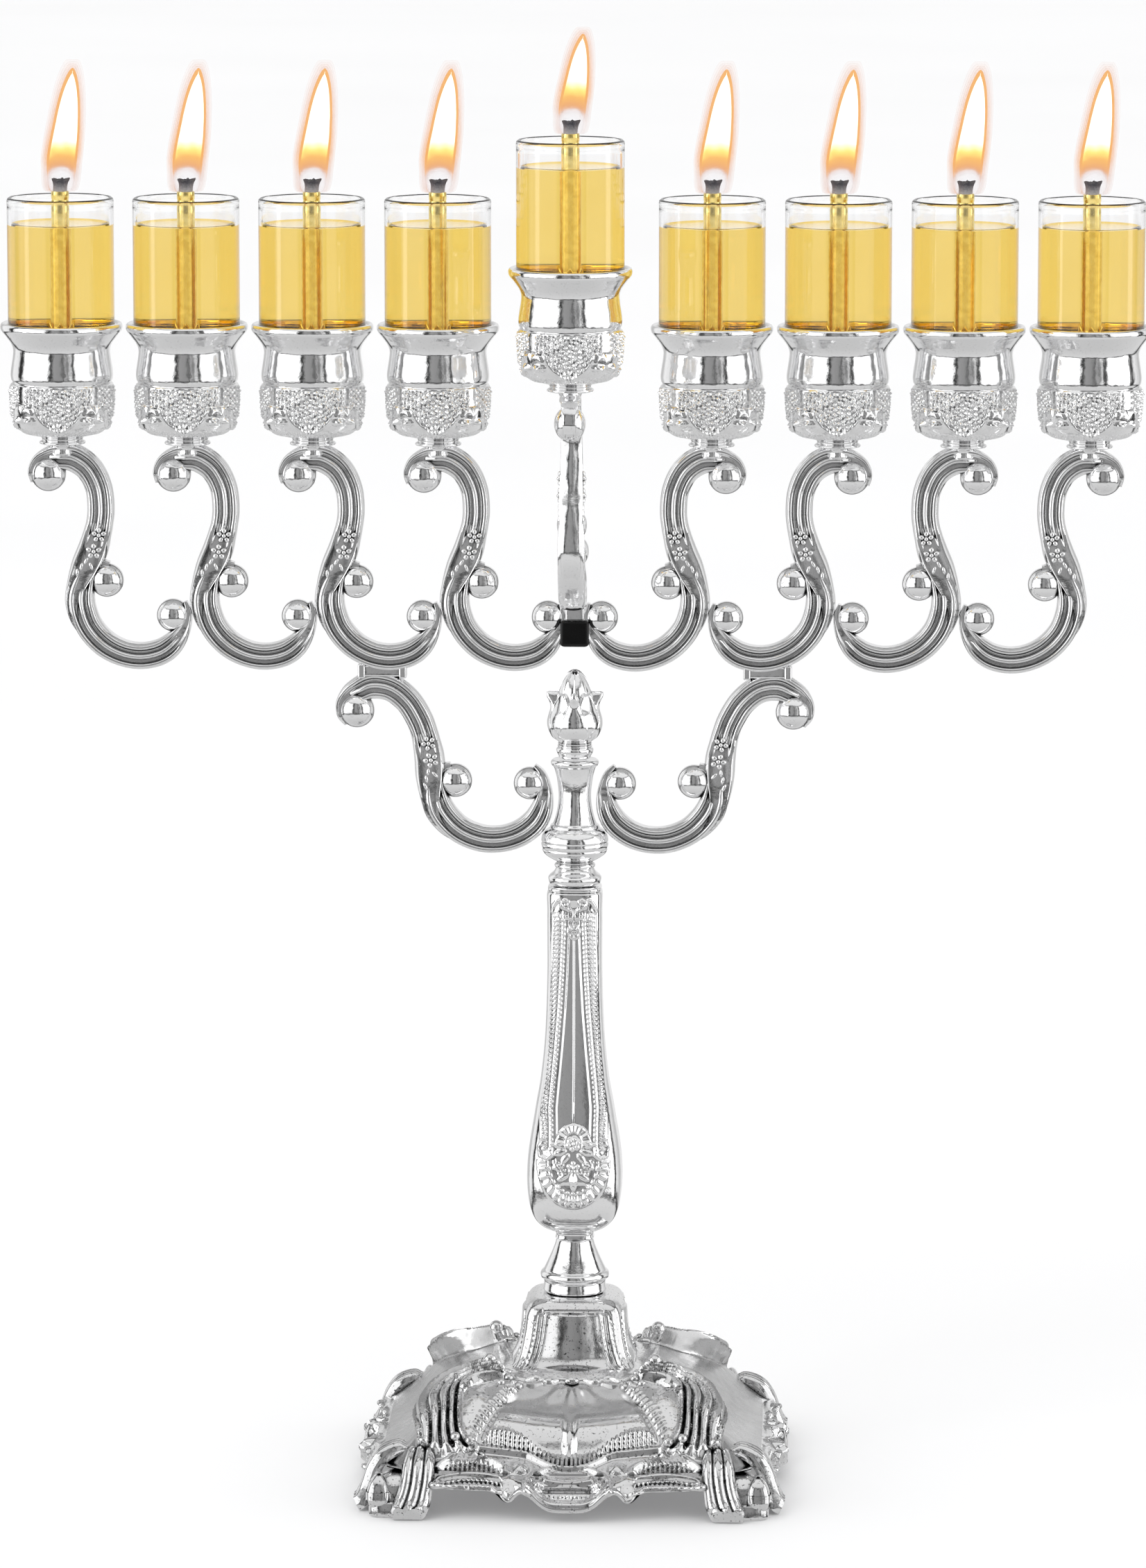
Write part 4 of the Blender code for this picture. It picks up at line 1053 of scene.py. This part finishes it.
silver = silver_material("silver_plate_look")
satin = silver_material("silver_plate_satin", rough=0.2, shade=0.62, specks=0.15)
# the grooved and cast silvers paint deeper shade into their creases and hollows
grooved = silver_material("silver_plate_grooved", rough=0.05, crease_shade_from=0.38, crease_shade_to=0.78)
cast = silver_material("silver_plate_cast", rough=0.08, shade=0.86, specks=0.8, crease_shade_from=0.34,
                       crease_shade_to=0.92)
steel = steel_material()
brass = brass_material()
dark = silver_material("dark_socket_look", rough=0.2, shade=0.03, specks=0.0)
glass = glass_material("clear_glass_look", 1.5)
wetted = glass_material("clear_glass_under_oil", 1.28)
oil_surface = oil_material("lamp_oil_surface", 1.17, (0.97, 0.75, 0.32))
oil_body = oil_material("lamp_oil_body", 1.01, (0.95, 0.69, 0.165))
cotton = wick_material()
CLEAR, VIOLET, PINK = (0.74, 0.72, 0.80), (0.62, 0.60, 0.74), (0.88, 0.60, 0.50)
FLAME_SKINS = (
    ("halo", (1.2, 0.9), flame_material(
        "flame_halo", ((0.0, VIOLET), (1.2, (0.80, 0.58, 0.52)), (2.0, (0.92, 0.52, 0.32)), (4.0, PINK),
                       (7.0, PINK)),
        ((0.0, 0.01), (0.75, 0.02), (1.2, 0.10), (2.2, 0.14), (4.2, 0.10), (6.6, 0.06)), 1.0)),
    ("glow", (0.6, 0.3), flame_material(
        "flame_glow", ((0.0, VIOLET), (1.2, (0.82, 0.50, 0.36)), (2.0, (0.93, 0.48, 0.20)),
                       (4.0, (0.93, 0.52, 0.30)), (7.0, PINK)),
        ((0.0, 0.01), (0.75, 0.03), (1.2, 0.14), (2.2, 0.2), (4.2, 0.14), (6.6, 0.09)), 1.0)),
    ("mantle", (0.0,), flame_material(
        "flame_mantle", ((0.0, CLEAR), (0.95, (0.78, 0.66, 0.64)), (1.15, (0.93, 0.42, 0.10)),
                         (1.6, (0.95, 0.42, 0.04)), (7.0, (0.95, 0.44, 0.05))),
        ((0.0, 0.02), (0.7, 0.05), (0.95, 0.22), (1.15, 0.6), (1.4, 0.82), (7.0, 0.82)), 1.0)),
    ("core", (-0.5,), flame_material(
        "flame_core", ((1.0, (0.06, 0.022, 0.007)), (1.35, (0.09, 0.036, 0.006)), (1.65, (0.15, 0.12, 0.014)),
                       (2.0, (0.3, 0.55, 0.14)), (2.45, (1.0, 1.0, 1.0))),
        ((1.0, 0.0), (1.25, 0.9), (1.5, 1.0)), 10.0)))

arm = scroll_arm_mesh("scroll_arm_look", grooved)
holder = holder_mesh("holder_cup_look", silver)
glass_cup = glass_mesh("glass_cup_look", glass, wetted)
oil = oil_mesh("lamp_oil_look", oil_surface, oil_body)
tube = tube_mesh("wick_holder_look", brass)
wick = wick_mesh("wick_look", cotton)


LOW_FLAME_HEIGHT = 20.2    # the raised cup's flame, kept inside the model's size


def flame_meshes(height):
    skins = []
    for name, offsets, material in FLAME_SKINS:
        shape = Shape()
        for offset in offsets:
            shape.tube(flame_rings(offset, height))
        skins.append((name, shape.mesh(f"flame_{name}_{height:.0f}", material, sharp=80)))
    return skins


flames = flame_meshes(FLAME_HEIGHT)
low_flames = flame_meshes(LOW_FLAME_HEIGHT)

for number in range(1, 10):
    low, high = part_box(f"holder_cup_{number}")
    rim = Vector(((low.x + high.x) / 2, (low.y + high.y) / 2, high.z)) / MM
    shamash = number == 9
    carrier = "shamash_arm" if shamash else "root"
    if shamash:
        add_piece("scroll_arm_shamash", arm, carrier, "silver_plate", ["shamash_arm"], rim,
                  (0, 0, math.pi / 2))
    else:
        add_piece(f"scroll_arm_{number}", arm, carrier, "silver_plate", [f"branch_arm_{number}"], rim,
                  (0, 0, 0 if rim.x < 0 else math.pi))
    add_piece(f"cup_{number}", holder, carrier, "silver_plate", [f"holder_cup_{number}"], rim)
    add_piece(f"glass_{number}", glass_cup, f"glass_{number}", "clear_glass", [f"glass_cup_{number}"], rim)
    add_piece(f"oil_{number}", oil, f"glass_{number}", "lamp_oil", [], rim)
    set_body = f"wick_set_{number}"
    add_piece(f"wick_tube_{number}", tube, set_body, "brass_tube", [f"wick_holder_{number}"], rim)
    add_piece(f"wick_cotton_{number}", wick, set_body, "cotton_wick", [f"wick_{number}"], rim)
    for name, mesh in (low_flames if shamash else flames):
        add_piece(f"flame_{name}_{number}", mesh, set_body, "flame", [], rim)

tilt = Euler((0, -LOWER_TILT, 0)).to_matrix()
foot_point = LOWER_MID_BALL - tilt @ ARM_MID_BALL
for side, turn, sign in (("left", 0.0, 1), ("right", math.pi, -1)):
    place = Vector((sign * foot_point.x, 0, foot_point.z))
    add_piece(f"scroll_arm_lower_{side}", arm, "root", "silver_plate", [f"lower_arm_{side}"], place,
              (0, -LOWER_TILT, turn))
    saddle = Shape()
    rounded_block(saddle, (9.8, 4.2, 2.2), (-sign * 40.2, 0, 171.4), 0.35)
    for tab in (-1, 1):
        rounded_block(saddle, (1.6, 4.8, 2.9), (-sign * 40.2 + tab * 4.3, 0, 171.4), 0.3)
    add_piece(f"saddle_{side}", saddle.mesh(f"saddle_{side}", silver), "root", "silver_plate",
              [f"crown_bracket_{side}"])

socket = Shape()
rounded_block(socket, (6.0, 6.2, 5.6), (0, 0, 179.6), 0.3, power=12)
add_piece("socket", socket.mesh("socket_look", dark), "root", "silver_plate", ["shamash_socket"])
tongue = Shape()
rounded_block(tongue, (4.3, 3.6, 19.0), (0, 0, 188.4), 0.5, power=7)
add_piece("tongue", tongue.mesh("tongue_look", silver), "shamash_arm", "silver_plate", [])

for piece, mesh, slot, node in (
        ("stem_base", base_mesh("base_look", cast, satin), "silver_plate", "base"),
        ("stem_collar", turned_mesh("cone_look", CONE_OUTLINE, (silver,)), "silver_plate", "stem_cone"),
        ("stem_baluster", baluster_mesh("baluster_look", silver), "silver_plate", "baluster_stem"),
        ("stem_column", turned_mesh("column_look", COLUMN_OUTLINE, (silver,)), "silver_plate",
         "branch_column"),
        ("stem_finial", finial_mesh("finial_look", silver), "silver_plate", "finial"),
        ("rod", rod_mesh("rod_look", steel), "zinc_steel", "tie_rod"),
        ("rod_washer", washer_mesh("washer_look", steel), "zinc_steel", "washer"),
        ("rod_nut", nut_mesh("nut_look", steel), "zinc_steel", "nut")):
    add_piece(piece, mesh, "root", slot, [node])


# ---------------------------------------------------------------- studio

def build_floor():
    n = Look("floor_look")
    tone = n.noise(3.0, 2.0)
    n.set(Base_Color=n.ramp(tone, (0.3, grey(0.93)), (0.7, grey(0.95))), Roughness=0.9)
    mesh = bpy.data.meshes.new("floor")
    mesh.from_pydata([(-30, -30, 0), (30, -30, 0), (30, 30, 0), (-30, 30, 0)], [], [(0, 1, 2, 3)])
    mesh.materials.append(n.material)
    floor = bpy.data.objects.new("floor", mesh)
    bpy.context.scene.collection.objects.link(floor)
    floor.visible_glossy = False


def build_world():
    """White surroundings, and a studio of softboxes and dark gaps that is seen in reflections."""
    world = bpy.data.worlds.new("studio")
    bpy.context.scene.world = world
    world.use_nodes = True
    n = Nodes(world.node_tree)
    n.tree.nodes.clear()
    output = n.add("ShaderNodeOutputWorld")

    def greys(value, stops):
        return n.ramp(value, *[(position, (tone, tone, tone)) for position, tone in stops])

    def centred(noise, width):
        return n.math("MULTIPLY", n.math("SUBTRACT", noise, 0.5), width)

    way = n.add("ShaderNodeTexCoord").outputs["Generated"]
    split = n.add("ShaderNodeSeparateXYZ", Vector=way).outputs
    azimuth = n.math("ARCTAN2", split["X"], n.math("MULTIPLY", split["Y"], -1.0))
    wobble = n.add("ShaderNodeTexNoise", Vector=way, Scale=1.6, Detail=2.0).outputs["Fac"]
    torn = n.add("ShaderNodeTexNoise", Vector=way, Scale=9.0, Detail=3.0).outputs["Fac"]
    uneven = n.math("MULTIPLY_ADD", n.math("SUBTRACT", torn, 0.5), 0.22, centred(wobble, 0.2))
    share = n.math("ADD", n.math("DIVIDE", n.math("ADD", azimuth, uneven), TAU), 0.5)
    sides = greys(share, [(degrees / 360 + 0.5, tone) for degrees, tone in STUDIO_SIDES])
    level = n.math("MULTIPLY_ADD", n.math("ADD", split["Z"], centred(wobble, 0.15)), 0.5, 0.5)
    back = n.math("MULTIPLY_ADD", n.math("MULTIPLY_ADD", wobble, 0.3, split["Y"]), 0.5, 0.425)
    ceiling = n.math("MULTIPLY", greys(back, STUDIO_CEILING), greys(level, CEILING_HEIGHTS))
    around = n.math("MULTIPLY", sides, greys(level, STUDIO_HEIGHTS))
    studio = n.math("ADD", around, n.math("ADD", greys(level, STUDIO_BELOW), ceiling))
    mirror = n.add("ShaderNodeBackground", Color=studio, Strength=1.0)
    plain = n.add("ShaderNodeBackground", Color=(1.0, 1.0, 1.0, 1.0), Strength=1.06)
    paths = n.add("ShaderNodeLightPath").outputs
    through_glass = n.math("MULTIPLY_ADD", paths["Is Transmission Ray"], -0.75, 1.0)
    bounced = n.math("GREATER_THAN", paths["Glossy Depth"], 0.5)
    mirrored = n.math("MULTIPLY", n.math("MULTIPLY", bounced, paths["Is Glossy Ray"]), through_glass)
    mix = n.add("ShaderNodeMixShader", **{"0": mirrored, "1": plain.outputs[0], "2": mirror.outputs[0]})
    n.put(output, "Surface", mix.outputs[0])


# Brightness of the studio by direction in degrees from the camera, negative to the left.
STUDIO_SIDES = (
    (-180, 0.8), (-150, 0.5), (-136, 0.9), (-112, 0.8), (-106, 0.03), (-98, 0.03), (-92, 1.1), (-80, 1.2),
    (-78, 3.5), (-68, 3.5), (-66, 1.2), (-28, 1.15), (-24, 0.02), (-19, 0.04), (-15, 0.32), (4, 0.26),
    (9, 0.06), (13, 0.5), (19, 0.1), (24, 0.9), (29, 0.06), (34, 0.03), (38, 1.2), (84, 1.1), (87, 3.0),
    (97, 3.0), (100, 0.9), (106, 0.03), (112, 0.05), (118, 0.85), (150, 0.5), (166, 0.8))
# How much of that pattern shows by height (0 is straight down, 0.5 level, 1 straight up).
STUDIO_HEIGHTS = ((0.0, 0.0), (0.33, 0.0), (0.36, 1.0), (0.78, 1.0), (0.81, 0.0))
# What lies below it, by the same height.
STUDIO_BELOW = ((0.0, 0.55), (0.29, 0.68), (0.32, 0.03), (0.35, 0.0), (1.0, 0.0))
# The ceiling above the pattern, from front (0) to back (1), and by height.
STUDIO_CEILING = ((0.0, 0.74), (0.49, 0.86), (0.515, 0.02), (0.555, 0.02), (0.58, 0.40), (1.0, 0.46))
CEILING_HEIGHTS = ((0.0, 0.0), (0.80, 0.0), (0.84, 1.0))


def add_light(name, place, aim, size, power):
    data = bpy.data.lights.new(name, "AREA")
    data.shape = "RECTANGLE"
    data.size, data.size_y = size
    data.energy = power
    light = bpy.data.objects.new(name, data)
    light.location = place
    light.rotation_euler = (Vector(aim) - Vector(place)).to_track_quat("-Z", "Y").to_euler()
    light.visible_glossy = False
    bpy.context.scene.collection.objects.link(light)


CAMERA_PLACE = Vector((0.056, -1.599, 0.410))
CAMERA_AIM = Vector((-0.0004, 0, 0.1475))
CAMERA_LENS = 178.0


def build_camera():
    data = bpy.data.cameras.new("camera")
    data.lens = CAMERA_LENS
    data.sensor_width = 36.0
    data.clip_end = 50
    camera = bpy.data.objects.new("camera", data)
    camera.location = CAMERA_PLACE
    camera.rotation_euler = (CAMERA_AIM - CAMERA_PLACE).to_track_quat("-Z", "Y").to_euler()
    bpy.context.scene.collection.objects.link(camera)
    bpy.context.scene.camera = camera


build_floor()
build_world()
build_camera()
add_light("key_light", (-1.2, -1.2, 1.6), (0, 0, 0.15), (1.0, 1.0), 6)
bpy.context.scene.view_settings.view_transform = "Standard"
bpy.context.scene.cycles.transparent_max_bounces = 64
bpy.context.scene.cycles.transmission_bounces = 24
bpy.context.scene.cycles.max_bounces = 24
